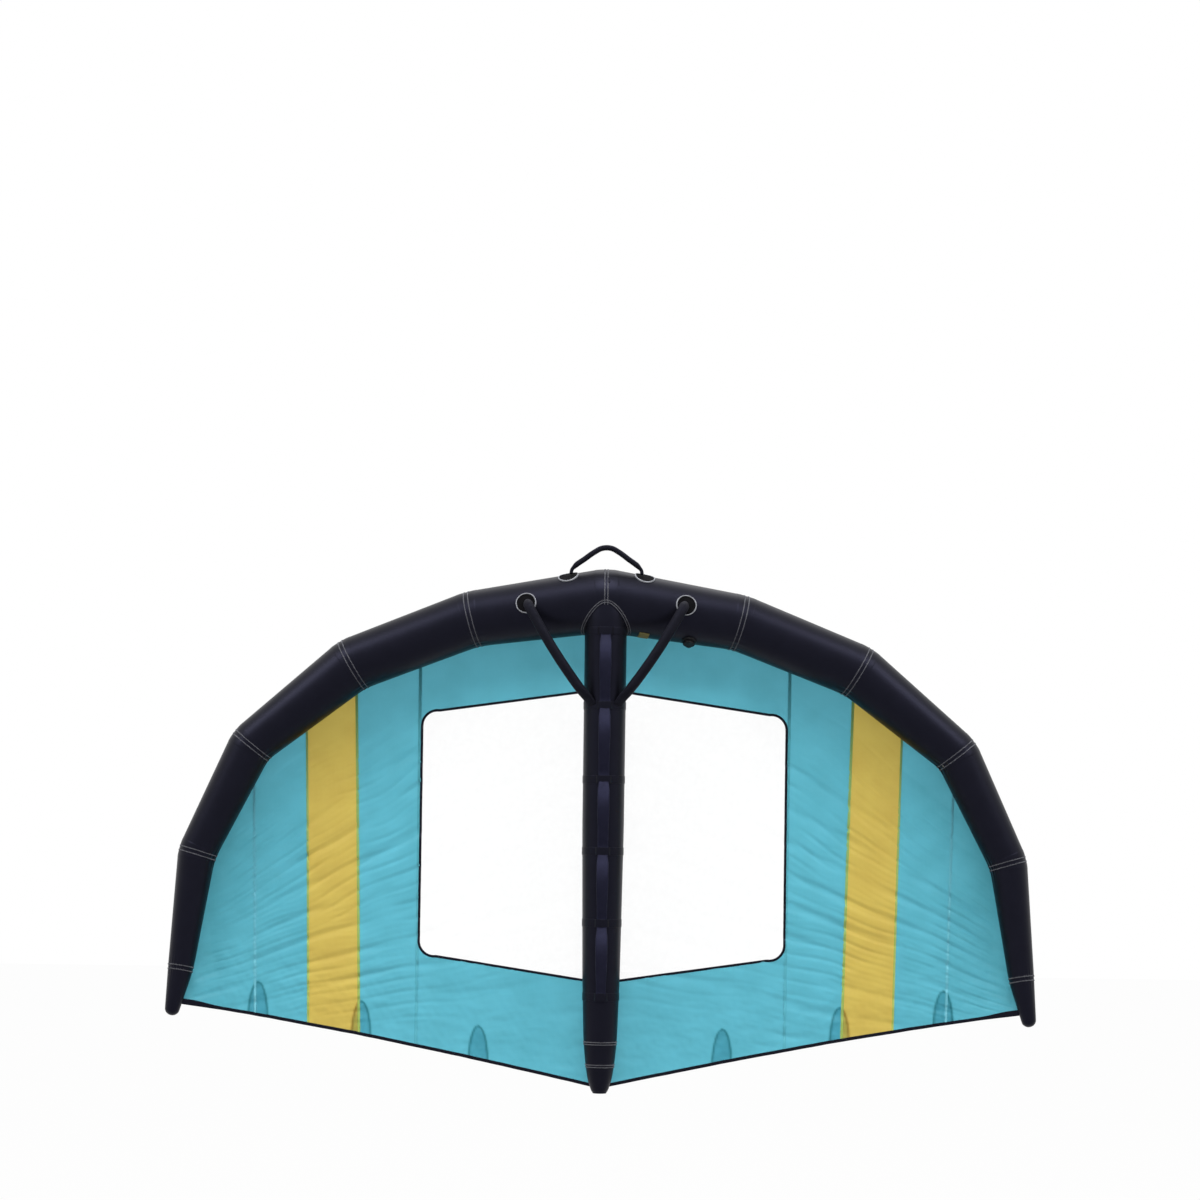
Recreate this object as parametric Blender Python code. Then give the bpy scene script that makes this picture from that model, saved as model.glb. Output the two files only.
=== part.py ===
"""Inflatable wing for wing foiling, at real size, in metres.

The wing stands nose up: X runs along the span, +Z points to the leading edge, the tail points down,
and -Y is the underside with the strut and its handles. The origin is the nose, the foremost point of
the leading edge at the centre.
"""

import math

import bmesh
import bpy
import numpy as np

# Leading edge tube
HALF_SPAN = 1.659
SWEEP = 1.598
ARCH = 0.118
LE_RADIUS = 0.123
SLEEVE_WALL = 0.0012
BAND_WIDTH = 0.066
BAND_WALL = 0.0010
# Span, sweep, arch and radius at each joint from the centre to the tip
LE_JOINT_SHARES = (
    (0.000, 0.000, 0.00, 1.000),
    (0.311, 0.046, 0.51, 0.882),
    (0.592, 0.159, 0.89, 0.850),
    (0.829, 0.358, 1.00, 0.703),
    (0.952, 0.623, 0.89, 0.598),
    (0.984, 0.904, 0.60, 0.402),
    (1.000, 1.000, 0.38, 0.236),
)
# The rounded tip past the last joint: reach and radius, in tip radii
TIP_END_SHARES = ((0.45, 0.90), (0.82, 0.58), (0.97, 0.25))

# Bladders
BLADDER_WALL = 0.0008
BLADDER_SLACK = 0.0015

# Centre strut
STRUT_REACH = 2.020
STRUT_RADIUS = 0.081
STRUT_DROP = 0.033
TAIL_WALL = 0.0020
STRUT_BLADDER_START = 0.262
STRUT_FILL_RADIUS = 0.012
# Reach from the nose and radius along the sleeve, then along the tail cap
SLEEVE_PROFILE_SHARES = ((0.500, 0.988), (0.781, 0.889), (0.901, 0.796))
TAIL_PROFILE_SHARES = ((0.901, 0.796), (0.945, 0.690), (0.975, 0.568), (0.992, 0.450), (1.000, 0.300))

# Canopy cloth, windows, hem and patches
CLOTH = 0.0008
FILM = 0.0006
TE_CENTER_REACH = 1.995
TE_TIP_REACH = 1.700
TE_TIP_SHARE = 0.97
TE_HOLLOW = 0.011
TE_LIFT = 0.020
VALLEY_WIDTH = 0.95
STRUT_BLEND = 0.47
HEM_WIDTH = 0.011
HEM_THICKNESS = 0.0024
WINDOW_INNER_X = 0.030
WINDOW_SEAM_MARGIN = 0.003
WINDOW_TOP_INNER = 0.466
WINDOW_TOP_OUTER = 0.557
WINDOW_BOTTOM_INNER = 1.596
WINDOW_BOTTOM_OUTER = 1.502
WINDOW_CORNER = 0.060
PATCH_WIDTH = 0.077
PATCH_HEIGHT = 0.125
PATCH_FULLNESS_SHARE = 1.8
PATCH_THICKNESS = 0.0010
PATCH_LIFT = 0.0007
VALLEY_SHARE = 1.4
ATTACH_END_SHARE = 0.6
# Top and bottom of the seams beside the window and beyond the yellow stripe, of the half span
WINDOW_SEAM_SHARES = (0.4364, 0.4316)
STRIPE_INNER_BOTTOM_SHARE = 0.567
STRIPE_OUTER_SHARES = (0.7052, 0.6872)
OUTER_SEAM_BOTTOM_SHARE = 0.8125
PATCH_CENTER_SHARES = (0.8059, 0.5618, 0.2845)
CENTER_COLUMN_SHARES = (0.042, 0.14, 0.30, 0.50, 0.86)
TIP_COLUMN_TE_SHARES = (0.52, 0.88)

# Handles along the strut
STRIP_WIDTH = 0.042
STRIP_THICKNESS = 0.0020
STRIP_END = 0.022
LOOP_COUNT = 5
LOOP_FIRST = 0.246
LOOP_PITCH = 0.2804
LOOP_FOOT = 0.034
LOOP_WIDTH = 0.036
LOOP_THICKNESS = 0.0045
LOOP_RISE = 0.042
LOOP_FULLNESS_SHARE = 1.2
LOOP_SKEW_SHARE = 0.8

# Eyelets
EYELET_RADIUS = 0.040
EYELET_MOUTH = 0.031
EYELET_HEIGHT = 0.0060
EYELET_FLOOR = 0.0022
FRONT_EYELET_X = 0.1262
FRONT_EYELET_TURN = math.radians(24)
V_EYELET_X = 0.2916
V_EYELET_TURN = math.radians(77)

# Front handle
FRONT_HANDLE_WIDTH = 0.033
FRONT_HANDLE_THICKNESS = 0.019
FRONT_HANDLE_CREST = 0.078
FRONT_FOOT_RADIUS = 0.010
FRONT_FOOT_THICKNESS = 0.012
FRONT_FOOT_CLEARANCE = 0.0007
# Drop below the hinge line and half width of the rounded feet, in foot radii
FRONT_FOOT_SHARES = ((0.96, 0.28), (0.70, 0.71))
# Span and height of the handle's middle line from the hinge line to its crest
FRONT_HANDLE_SHARES = ((1.0, 0.14), (0.92, 0.26), (0.62, 0.55), (0.34, 0.83), (0.15, 0.97))

# Handles in a V
V_HANDLE_RADIUS = 0.019
V_END_REACH = 0.515
V_END_TURN = math.radians(41)
V_END_WIDTH = 0.021
V_END_THICKNESS = 0.007
V_RISE = 0.085
V_LANDING = 0.200
V_LANDING_SLOPE = 0.28
V_STATIONS = 13
V_FLATTENING_SHARE = 0.2

# Inflation valve
VALVE_X = 0.3353
VALVE_TURN = math.radians(203)
VALVE_FLANGE_RADIUS = 0.030
VALVE_FLANGE_HEIGHT = 0.0055
VALVE_FLANGE_DEPTH = 0.008
VALVE_NECK_RADIUS = 0.0200
VALVE_NECK_HEIGHT = 0.0115
VALVE_BORE_RADIUS = 0.0165
VALVE_SEAT_RADIUS = 0.0100
VALVE_INSERT_LIP = 0.0020
VALVE_INSERT_DEPTH = 0.0140
VALVE_CAP_RADIUS = 0.0229
VALVE_CAP_TOP = 0.0030
VALVE_CAP_WALL = 0.0018
VALVE_CAP_DEPTH = 0.0026
VALVE_HINGE_REACH = 0.0275
VALVE_KNUCKLE_RADIUS = 0.0026
VALVE_KNUCKLE_LENGTH = 0.0090
VALVE_PIN_RADIUS = 0.0011
VALVE_PIN_CLEARANCE = 0.00025
VALVE_LUG_LENGTH = 0.0040
VALVE_TONGUE_THICKNESS = 0.0022

# Clearances and overruns
GAP = 0.0003
SLACK = 0.0006
OVERRUN = 0.010

# Facets
TUBE_SIDES = 24
BLADDER_SIDES = 16
ROUND_SIDES = 28
EYELET_SIDES = 20
HANDLE_SIDES = 12
LOOP_STATIONS = 13
CORNER_STEPS = 6
PATCH_ARC_STEPS = 8
BLEND_ROWS = 5
SMOOTH_ANGLE = math.radians(32)
EYELET_FLOOR_SHARES = (0.1, 0.4, 0.7)

UP = np.array((0.0, 1.0, 0.0))
DOWN_CHORD = np.array((0.0, 0.0, -1.0))
ACROSS = np.array((1.0, 0.0, 0.0))


def unit(vector):
    """The vector at length one."""
    return vector / np.linalg.norm(vector)


def mix(start, end, share):
    """The point that lies the given share of the way from start to end."""
    return start + (end - start) * share


def on_turn(angles, first, second):
    """Unit-circle points in the plane of two directions, one row for each angle."""
    return np.outer(np.cos(angles), first) + np.outer(np.sin(angles), second)


def full_turn(sides):
    """Angles of a closed ring's corners."""
    return np.linspace(0.0, math.tau, sides, endpoint=False)


def material(name, color, roughness, metallic=0.0, alpha=1.0):
    """A Principled material, made once for each name."""
    made = bpy.data.materials.get(name)
    if made is None:
        made = bpy.data.materials.new(name)
        made.use_nodes = True
        shader = made.node_tree.nodes["Principled BSDF"]
        shader.inputs["Base Color"].default_value = (*color, 1.0)
        shader.inputs["Roughness"].default_value = roughness
        shader.inputs["Metallic"].default_value = metallic
        shader.inputs["Alpha"].default_value = alpha
    return made


def black_dacron():
    return material("black_dacron", (0.012, 0.012, 0.016), 0.55)


def band_dacron():
    return material("band_dacron", (0.007, 0.007, 0.009), 0.65)


def bladder_film():
    return material("bladder_film", (0.55, 0.56, 0.55), 0.30)


def webbing():
    return material("webbing", (0.015, 0.015, 0.020), 0.75)


def handle_padding():
    return material("handle_padding", (0.010, 0.010, 0.012), 0.70)


def eyelet_rubber():
    return material("eyelet_rubber", (0.14, 0.14, 0.15), 0.45)


def cyan_ripstop():
    return material("cyan_ripstop", (0.115, 0.480, 0.620), 0.50)


def yellow_ripstop():
    return material("yellow_ripstop", (0.600, 0.400, 0.040), 0.50)


def window_film():
    return material("window_film", (0.90, 0.93, 0.95), 0.08, alpha=0.25)


def valve_plastic():
    return material("valve_plastic", (0.020, 0.020, 0.022), 0.40)


def add_mesh(name, vertices, faces, finish):
    """A mesh object with its faces pointing out and its round stretches shaded smooth."""
    mesh = bpy.data.meshes.new(name)
    mesh.from_pydata([tuple(map(float, v)) for v in vertices], [], faces)
    work = bmesh.new()
    work.from_mesh(mesh)
    bmesh.ops.recalc_face_normals(work, faces=work.faces)
    work.to_mesh(mesh)
    work.free()
    mesh.materials.append(finish)
    mesh.shade_smooth()
    mesh.set_sharp_from_angle(angle=SMOOTH_ANGLE)
    made = bpy.data.objects.new(name, mesh)
    bpy.context.scene.collection.objects.link(made)
    return made


def loft_faces(ring_count, sides, closed):
    """Quads between neighbouring rings, with a cap at each end or, where closed, the last ring joined
    to the first.
    """
    faces = []
    for ring in range(ring_count if closed else ring_count - 1):
        here = ring * sides
        there = (ring + 1) % ring_count * sides
        for side in range(sides):
            after = (side + 1) % sides
            faces.append((here + side, here + after, there + after, there + side))
    if not closed:
        faces.append(tuple(range(sides)))
        faces.append(tuple(range((ring_count - 1) * sides, ring_count * sides)))
    return faces


def loft(name, rings, finish, closed=False):
    """A solid through a row of rings: capped at both ends, or a sleeve whose inner rings lead back to
    the first.
    """
    sides = len(rings[0])
    return add_mesh(name, np.concatenate(rings), loft_faces(len(rings), sides, closed), finish)


def sleeve(name, outer, inner, finish):
    """A tube with a wall, open at both ends."""
    return loft(name, list(outer) + list(inner)[::-1], finish, closed=True)


def as_cutter(made):
    """Keeps a shape as a cutter only."""
    made.hide_render = True
    made.display_type = "WIRE"
    return made


def boolean(made, other, operation="DIFFERENCE"):
    """Cuts, joins or intersects with another object."""
    step = made.modifiers.new(f"{operation.lower()}_{other.name}", "BOOLEAN")
    step.operation = operation
    step.solver = "EXACT"
    step.object = other


def revolve_rings(origin, axis, profile, sides):
    """Rings round an axis for a profile of (radius, height) pairs."""
    side = unit(np.cross(axis, UP if abs(axis @ UP) < abs(axis @ ACROSS) else ACROSS))
    circle = on_turn(full_turn(sides), side, np.cross(axis, side))
    return [origin + axis * height + circle * radius for radius, height in profile]


def side_name(side):
    return "right" if side > 0 else "left"


class LeadingEdge:
    """The tube's joints from the left tip to the right tip, and the rings cut on the mitre at each of
    them.
    """

    def __init__(self):
        shares = np.array(LE_JOINT_SHARES)
        depth = -LE_RADIUS - shares[:, 1] * SWEEP
        half = np.stack((shares[:, 0] * HALF_SPAN, shares[:, 2] * ARCH, depth), axis=1)
        other = half[:0:-1] * np.array((-1.0, 1.0, 1.0))
        self.points = np.concatenate((other, half))
        self.radii = np.concatenate((shares[:0:-1, 3], shares[:, 3])) * LE_RADIUS
        self.center = len(half) - 1
        along = np.diff(self.points, axis=0)
        self.lengths = np.linalg.norm(along, axis=1)
        self.directions = along / self.lengths[:, None]

    def ring(self, joint, angles, offset=0.0):
        """The mitre ellipse at a joint: angle 0 points to the nose, a quarter turn to the canopy side."""
        before = self.directions[max(joint - 1, 0)]
        after = self.directions[min(joint, len(self.directions) - 1)]
        normal = unit(before + after)
        up = unit(UP - (UP @ normal) * normal)
        spokes = on_turn(angles, np.cross(normal, up), up)
        bend = before - (before @ normal) * normal
        stretch = np.zeros(len(spokes))
        if np.linalg.norm(bend) > 0:
            stretch = (spokes @ unit(bend)) ** 2
        cosine = before @ normal
        reach = (self.radii[joint] + offset) / np.sqrt(1 - stretch * (1 - cosine ** 2))
        return self.points[joint] + spokes * reach[:, None]

    def between(self, joint, share, angles, offset=0.0):
        """A ring on the stretch after a joint."""
        return mix(self.ring(joint, angles, offset), self.ring(joint + 1, angles, offset), share)

    def near(self, joint, distance, angles, offset=0.0):
        """A ring at a signed distance from a joint along the tube."""
        if distance < 0:
            return self.between(joint - 1, 1 + distance / self.lengths[joint - 1], angles, offset)
        return self.between(joint, distance / self.lengths[joint], angles, offset)

    def surface(self, side, x, turn, around, along, height):
        """Points on the first panel beside the centre, from a spot at x and turn: around and along are
        distances from the spot on the surface, and height stands off it."""
        joint = self.center if side > 0 else self.center - 1
        length = self.lengths[joint]
        run = x / abs(self.directions[joint][0])
        radius = mix(self.radii[self.center], self.radii[self.center + 1], run / length)
        shares = (run + along) / length
        if side < 0:
            shares = 1 - shares
        angles = turn + around / radius
        starts = np.array([self.ring(joint, [a], h)[0] for a, h in zip(angles, height)])
        ends = np.array([self.ring(joint + 1, [a], h)[0] for a, h in zip(angles, height)])
        return starts + (ends - starts) * shares[:, None]

    def spot(self, side, x, turn, height=0.0):
        """One point on the first panel and the outward normal there, from two short steps on the surface."""
        step = EYELET_RADIUS
        around = np.array((0.0, step, -step, 0.0, 0.0))
        along = np.array((0.0, 0.0, 0.0, step, -step))
        low, ahead, behind, outer, inner = self.surface(side, x, turn, around, along, np.zeros(5))
        normal = unit(np.cross(ahead - behind, outer - inner))
        away = self.surface(side, x, turn, np.zeros(1), np.zeros(1), np.full(1, step))[0] - low
        normal = normal * np.sign(normal @ away)
        return low + normal * height, normal

    def crest(self):
        """Where the canopy is sewn on, at each joint of the right half: the tube's line on the canopy
        side.
        """
        lift = BAND_WALL + 2 * GAP
        quarter = [math.pi / 2]
        return np.array([self.ring(j, quarter, lift)[0] for j in range(self.center, len(self.points))])


LE = LeadingEdge()


def build_le_panels():
    """Five tapered panels each side, cut on the mitre, with the valve's hole in the first one on the
    right.
    """
    angles = full_turn(TUBE_SIDES)
    for side in (-1, 1):
        for number in range(1, 6):
            joint = LE.center + number - 1 if side > 0 else LE.center - number
            length = LE.lengths[joint]
            ends = (GAP / 2 / length, 1 - GAP / 2 / length)
            outer = [LE.between(joint, share, angles) for share in ends]
            inner = [LE.between(joint, share, angles, -SLEEVE_WALL) for share in ends]
            made = sleeve(f"le_panel_{number}_{side_name(side)}", outer, inner, black_dacron())
            if side > 0 and number == 1:
                boolean(made, valve_hole("valve_hole_cutter", VALVE_NECK_RADIUS + SLACK))


def tip_rings(side, angles, offset):
    """Rings from the last joint to the rounded end."""
    last = len(LE.points) - 1 if side > 0 else 0
    joint = last - side
    stretch = LE.lengths[last - 1] if side > 0 else LE.lengths[0]
    outward = LE.directions[-1] if side > 0 else -LE.directions[0]
    end = LE.ring(last, angles, offset)
    middle = LE.points[last]
    rings = [LE.near(joint, side * run / 2, angles, offset) for run in (GAP, stretch)] + [end]
    for reach, width in TIP_END_SHARES:
        rings.append(middle + (end - middle) * width + outward * (LE.radii[last] + offset) * reach)
    return rings


def build_le_tips():
    """Hollow tip caps, open where they meet the last panel."""
    angles = full_turn(TUBE_SIDES)
    for side in (-1, 1):
        outer = tip_rings(side, angles, 0.0)
        inner = tip_rings(side, angles, -SLEEVE_WALL)
        loft(f"le_tip_{side_name(side)}", outer[::-1] + inner, black_dacron())


def build_le_bands():
    """A reinforcement band over each joint, following the tube on both sides of the mitre."""
    angles = full_turn(TUBE_SIDES)
    for number in range(-4, 5):
        joint = LE.center + number
        name = "le_band_center" if number == 0 else f"le_band_{abs(number)}_{side_name(number)}"
        places = (-BAND_WIDTH / 2, 0.0, BAND_WIDTH / 2)
        inner = [LE.near(joint, place, angles, GAP) for place in places]
        outer = [LE.near(joint, place, angles, GAP + BAND_WALL) for place in places]
        sleeve(name, outer, inner, band_dacron())


def bladder_rings(offset):
    """Closed rings of the bladder from tip to tip."""
    angles = full_turn(BLADDER_SIDES)
    rings = [LE.ring(joint, angles, offset) for joint in range(1, len(LE.points) - 1)]
    ends = [tip_rings(side, angles, offset)[2:4] for side in (-1, 1)]
    return ends[0][::-1] + rings + ends[1]


def build_le_bladder():
    """The tube's air bladder: a thin closed skin with one hole, at the valve."""
    depth = SLEEVE_WALL + BLADDER_SLACK
    made = loft("le_bladder", bladder_rings(-depth), bladder_film())
    hollow = loft("le_bladder_hollow", bladder_rings(-depth - BLADDER_WALL), bladder_film())
    boolean(made, as_cutter(hollow))
    boolean(made, valve_hole("bladder_hole_cutter", VALVE_NECK_RADIUS + GAP))


def le_body(name, offset):
    """The middle of the leading edge as one solid, for cutting what sits on it."""
    angles = full_turn(TUBE_SIDES)
    joints = (LE.center - 1, LE.center, LE.center + 1)
    return as_cutter(loft(name, [LE.ring(joint, angles, offset) for joint in joints], black_dacron()))


def strut_axis(reach):
    """The strut's middle line: flush with the underside of the leading edge at its root, a little lower
    at its tail.
    """
    along = (reach - LE_RADIUS) / (STRUT_REACH - LE_RADIUS)
    return np.array((0.0, STRUT_RADIUS - LE_RADIUS - STRUT_DROP * along, -reach))


def strut_profile():
    """Reach and radius of every ring of the strut and its tail cap."""
    table = ((LE_RADIUS / STRUT_REACH, 1.0),) + SLEEVE_PROFILE_SHARES + TAIL_PROFILE_SHARES[1:]
    return np.array(table) * np.array((STRUT_REACH, STRUT_RADIUS))


def strut_radius(reach):
    profile = strut_profile()
    return np.interp(reach, profile[:, 0], profile[:, 1])


def strut_ring(reach, radius, angles):
    """A level ring round the strut: angle 0 points to the right, a quarter turn to the canopy side."""
    return strut_axis(reach) + on_turn(angles, ACROSS, UP) * radius


def build_strut():
    """The strut's sleeve, cut to the leading edge so that its root ends in a pointed arch."""
    angles = full_turn(TUBE_SIDES)
    reaches = [LE_RADIUS] + [share * STRUT_REACH for share, _ in SLEEVE_PROFILE_SHARES]
    reaches[-1] -= GAP / 2
    outer = [strut_ring(reach, strut_radius(reach), angles) for reach in reaches]
    inner = [strut_ring(reach, strut_radius(reach) - SLEEVE_WALL, angles) for reach in reaches]
    made = sleeve("strut_sleeve", outer, inner, black_dacron())
    boolean(made, le_body("strut_root_cutter", BAND_WALL + 2 * GAP))


def build_strut_tail():
    """The tail cap: a tapered, blunt-ended hollow cap, open towards the sleeve."""
    angles = full_turn(TUBE_SIDES)
    places = [(reach * STRUT_REACH, radius * STRUT_RADIUS) for reach, radius in TAIL_PROFILE_SHARES]
    places[0] = (places[0][0] + GAP / 2, places[0][1])
    outer = [strut_ring(reach, radius, angles) for reach, radius in places]
    inner = [strut_ring(reach, radius - TAIL_WALL, angles) for reach, radius in places[:-2]]
    loft("strut_tail_cap", outer[::-1] + inner, band_dacron())


def build_strut_bladder():
    """The strut's air bladder, with its filling hole at the root."""
    angles = full_turn(BLADDER_SIDES)
    depth = SLEEVE_WALL + BLADDER_SLACK
    end = TAIL_PROFILE_SHARES[0][0] * STRUT_REACH - BLADDER_SLACK
    reaches = [STRUT_BLADDER_START] + [s * STRUT_REACH for s, _ in SLEEVE_PROFILE_SHARES[:-1]] + [end]
    outer = [strut_ring(reach, strut_radius(reach) - depth, angles) for reach in reaches]
    inner = [strut_ring(reach, strut_radius(reach) - depth - BLADDER_WALL, angles) for reach in reaches]
    inner[0][:, 2] -= BLADDER_WALL
    inner[-1][:, 2] += BLADDER_WALL
    fill = strut_ring(STRUT_BLADDER_START, STRUT_FILL_RADIUS, angles)
    fill_inner = fill + DOWN_CHORD * BLADDER_WALL
    made = outer[::-1] + [fill, fill_inner] + inner
    loft("strut_bladder", made, bladder_film())


def canopy_drop_at_strut(reach):
    """How far the canopy has come down from the crest where it lies on the strut."""
    crest = LE.crest()[0]
    top = STRUT_RADIUS - LE_RADIUS - STRUT_DROP * (reach - LE_RADIUS) / (STRUT_REACH - LE_RADIUS)
    top = top + strut_radius(reach) + GAP
    along = np.clip((reach + crest[2]) / STRUT_BLEND, 0.0, 1.0)
    return (crest[1] - top) * (1 - np.cos(along * math.pi)) / 2


def te_tip_x():
    """Where the trailing edge ends, on the right."""
    return TE_TIP_SHARE * HALF_SPAN


def te_reach(x):
    """Distance of the trailing edge below the nose, a little hollow between centre and tip."""
    share = np.abs(x) / te_tip_x()
    straight = mix(TE_CENTER_REACH, TE_TIP_REACH, share)
    return straight - TE_HOLLOW * 4 * share * (1 - share)


def canopy(le_x, te_x, share):
    """Points of the cloth's underside, on the line from le_x on the sewn edge to te_x on the trailing
    edge.
    """
    crest = LE.crest()
    far = np.abs(le_x)
    edge_y = np.interp(far, crest[:, 0], crest[:, 1])
    edge_z = np.interp(far, crest[:, 0], crest[:, 2])
    x = mix(le_x, te_x, share)
    z = mix(edge_z, -te_reach(te_x), share)
    axis_y = np.interp(far, crest[:, 0], np.array(LE_JOINT_SHARES)[:, 2] * ARCH)
    outer_drop = (edge_y - axis_y - TE_LIFT) * share ** 2
    open_share = np.clip(np.abs(x) / VALLEY_WIDTH, 0.0, 1.0)
    outer_weight = 1 - (1 - open_share) ** VALLEY_SHARE
    center_z = mix(crest[0, 2], -TE_CENTER_REACH, share)
    drop = mix(canopy_drop_at_strut(-center_z), outer_drop, outer_weight)
    return np.stack((x, edge_y - drop, z), axis=-1)


def cloth_grid(name, lines, thickness, finish, lift=0.0):
    """A sheet over columns that run from the sewn edge to the trailing edge, thickened towards the
    canopy side.
    """
    le_x, te_x = np.array(lines).T
    grid = canopy(le_x[None, :], te_x[None, :], np.array(cloth_rows())[:, None]) + UP * lift
    height, width = grid.shape[:2]
    faces = []
    for row in range(height - 1):
        for column in range(width - 1):
            corner = row * width + column
            faces.append((corner, corner + 1, corner + width + 1, corner + width))
    mesh = bpy.data.meshes.new(name)
    mesh.from_pydata([tuple(map(float, v)) for v in grid.reshape(-1, 3)], [], faces)
    mesh.materials.append(finish)
    mesh.shade_smooth()
    made = bpy.data.objects.new(name, mesh)
    bpy.context.scene.collection.objects.link(made)
    wall = made.modifiers.new("thickness", "SOLIDIFY")
    wall.thickness = thickness
    wall.offset = 1
    return made


def seams():
    """Top and bottom x of the seams, from the window outwards. Two of them start at joints of the
    leading edge.
    """
    crest = LE.crest()
    return (
        tuple(share * HALF_SPAN for share in WINDOW_SEAM_SHARES),
        (crest[2, 0], STRIPE_INNER_BOTTOM_SHARE * HALF_SPAN),
        tuple(share * HALF_SPAN for share in STRIPE_OUTER_SHARES),
        (crest[3, 0], OUTER_SEAM_BOTTOM_SHARE * HALF_SPAN),
    )


def center_lines():
    """Columns of the centre panel, across both halves."""
    top, bottom = seams()[0]
    shares = sorted(CENTER_COLUMN_SHARES + (LE.crest()[1, 0] / top,))
    half = [(share * top, share * bottom) for share in shares] + [(top - GAP / 2, bottom - GAP / 2)]
    return [(-a, -b) for a, b in half[::-1]] + [(0.0, 0.0)] + half


def cloth_rows():
    """Rows of every cloth panel, set by the bends of the strut below the middle."""
    start = LE_RADIUS
    run = TE_CENTER_REACH - start
    blend = [STRUT_BLEND / run * step / BLEND_ROWS for step in range(BLEND_ROWS + 1)]
    knots = [(reach - start) / run for reach in strut_profile()[:, 0]]
    return blend + [share for share in knots if blend[-1] < share < 1] + [1.0]


def window_outline(side, margin):
    """The window's outline, with straight edges and rounded outer corners, drawn in by a margin."""
    full_outer = seams()[0][1] - WINDOW_SEAM_MARGIN
    inner = WINDOW_INNER_X + margin
    outer = full_outer - margin
    run = full_outer - WINDOW_INNER_X
    top = (WINDOW_TOP_INNER, WINDOW_TOP_OUTER, 1)
    bottom = (WINDOW_BOTTOM_INNER, WINDOW_BOTTOM_OUTER, -1)
    corners = []
    for start, end, way in (top, bottom):
        slope = (end - start) / run
        reach = start + way * margin
        lean = math.atan(slope)
        center_x = outer - WINDOW_CORNER
        center = reach + slope * (center_x - inner) + way * WINDOW_CORNER / math.cos(lean)
        turns = np.linspace(way * math.pi / 2 + lean, 0.0, CORNER_STEPS)
        arc_x = center_x + WINDOW_CORNER * np.cos(turns)
        arc_reach = center - WINDOW_CORNER * np.sin(turns)
        corners.append([(inner, reach)] + list(zip(arc_x, arc_reach)))
    outline = corners[0] + corners[1][::-1]
    return np.array([(side * x, -reach) for x, reach in outline])


def window_prism(name, side, margin):
    """The window's outline drawn through the whole depth of the canopy."""
    outline = window_outline(side, margin)
    rings = [np.insert(outline, 1, depth, axis=1) for depth in (-LE_RADIUS, 2 * LE_RADIUS + ARCH)]
    return as_cutter(loft(name, rings, window_film()))


def build_center_panel():
    """The centre panel between the seams beside the windows, with both windows cut out, and the two films."""
    made = cloth_grid("canopy_center", center_lines(), CLOTH, cyan_ripstop())
    for side in (-1, 1):
        place = side_name(side)
        boolean(made, window_prism(f"window_cutter_{place}", side, 0.0))
        film = cloth_grid(f"canopy_window_{place}", center_lines(), FILM, window_film())
        boolean(film, window_prism(f"film_cutter_{place}", side, GAP), "INTERSECT")


def build_side_panels():
    """The three panels beside each window: cyan, the yellow stripe and cyan again."""
    lines = seams()
    names = (("inner", cyan_ripstop), ("stripe", yellow_ripstop), ("outer", cyan_ripstop))
    for side in (-1, 1):
        for (name, finish), start, end in zip(names, lines[:-1], lines[1:]):
            low = np.array(start) + GAP / 2
            high = np.array(end) - GAP / 2
            columns = [tuple(side * mix(low, high, step / 2)) for step in (0, 1, 2)][::side]
            cloth_grid(f"canopy_{name}_{side_name(side)}", columns, CLOTH, finish())


def tip_lines():
    """Columns of the tip panel: they fan out from the joints to the last stretch of the trailing edge."""
    crest = LE.crest()
    start = seams()[-1][1] + GAP / 2
    bottoms = [mix(start, te_tip_x(), share) for share in (0.0,) + TIP_COLUMN_TE_SHARES + (1.0,)]
    last = mix(crest[-2, 0], crest[-1, 0], ATTACH_END_SHARE)
    tops = [crest[3, 0] + GAP / 2, crest[4, 0], crest[5, 0], last]
    return list(zip(tops, bottoms))


def build_tip_panels():
    for side in (-1, 1):
        columns = [(side * top, side * bottom) for top, bottom in tip_lines()][::side]
        cloth_grid(f"canopy_tip_{side_name(side)}", columns, CLOTH, cyan_ripstop())


def te_stations():
    """Every column's foot on the trailing edge, as (le_x, te_x) pairs from the left tip to the right tip."""
    half = [line for line in center_lines() if line[1] > 0]
    for start, end in zip(seams()[:-1], seams()[1:]):
        half.append(tuple(mix(np.array(start), np.array(end), 1 / 2)))
        half.append(end)
    half += tip_lines()[1:]
    return [(-a, -b) for a, b in half[::-1]] + [(0.0, 0.0)] + half


def build_hem():
    """The hem: a narrow doubled strip along the whole trailing edge, level with the cloth's underside."""
    rings = []
    for le_x, te_x in te_stations():
        low = canopy(np.array(le_x), np.array(te_x), np.array(1.0))
        start = low + DOWN_CHORD * SLACK
        end = low + DOWN_CHORD * (SLACK + HEM_WIDTH)
        thick = UP * HEM_THICKNESS
        rings.append(np.array((start, end, end + thick, start + thick)))
    loft("canopy_hem", rings, band_dacron())


def patch_prism(name, center):
    """A patch's tongue drawn through the canopy: half its width times sqrt(1 - share^fullness) up its
    height.
    """
    half = PATCH_WIDTH / 2
    foot = -te_reach(center)
    rise = np.sin(np.linspace(0.0, math.pi / 2, PATCH_ARC_STEPS + 1))
    width = half * np.sqrt(1 - rise ** PATCH_FULLNESS_SHARE)
    right = np.stack((center + width, foot + PATCH_HEIGHT * rise), axis=1)
    left = np.stack((center - width, foot + PATCH_HEIGHT * rise), axis=1)
    low = np.array(((center + half, foot - half), (center - half, foot - half)))
    outline = np.concatenate((low[:1], right, left[-2::-1], low[1:]))
    rings = [np.insert(outline, 1, depth, axis=1) for depth in (-LE_RADIUS, 2 * LE_RADIUS + ARCH)]
    return as_cutter(loft(name, rings, cyan_ripstop()))


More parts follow.
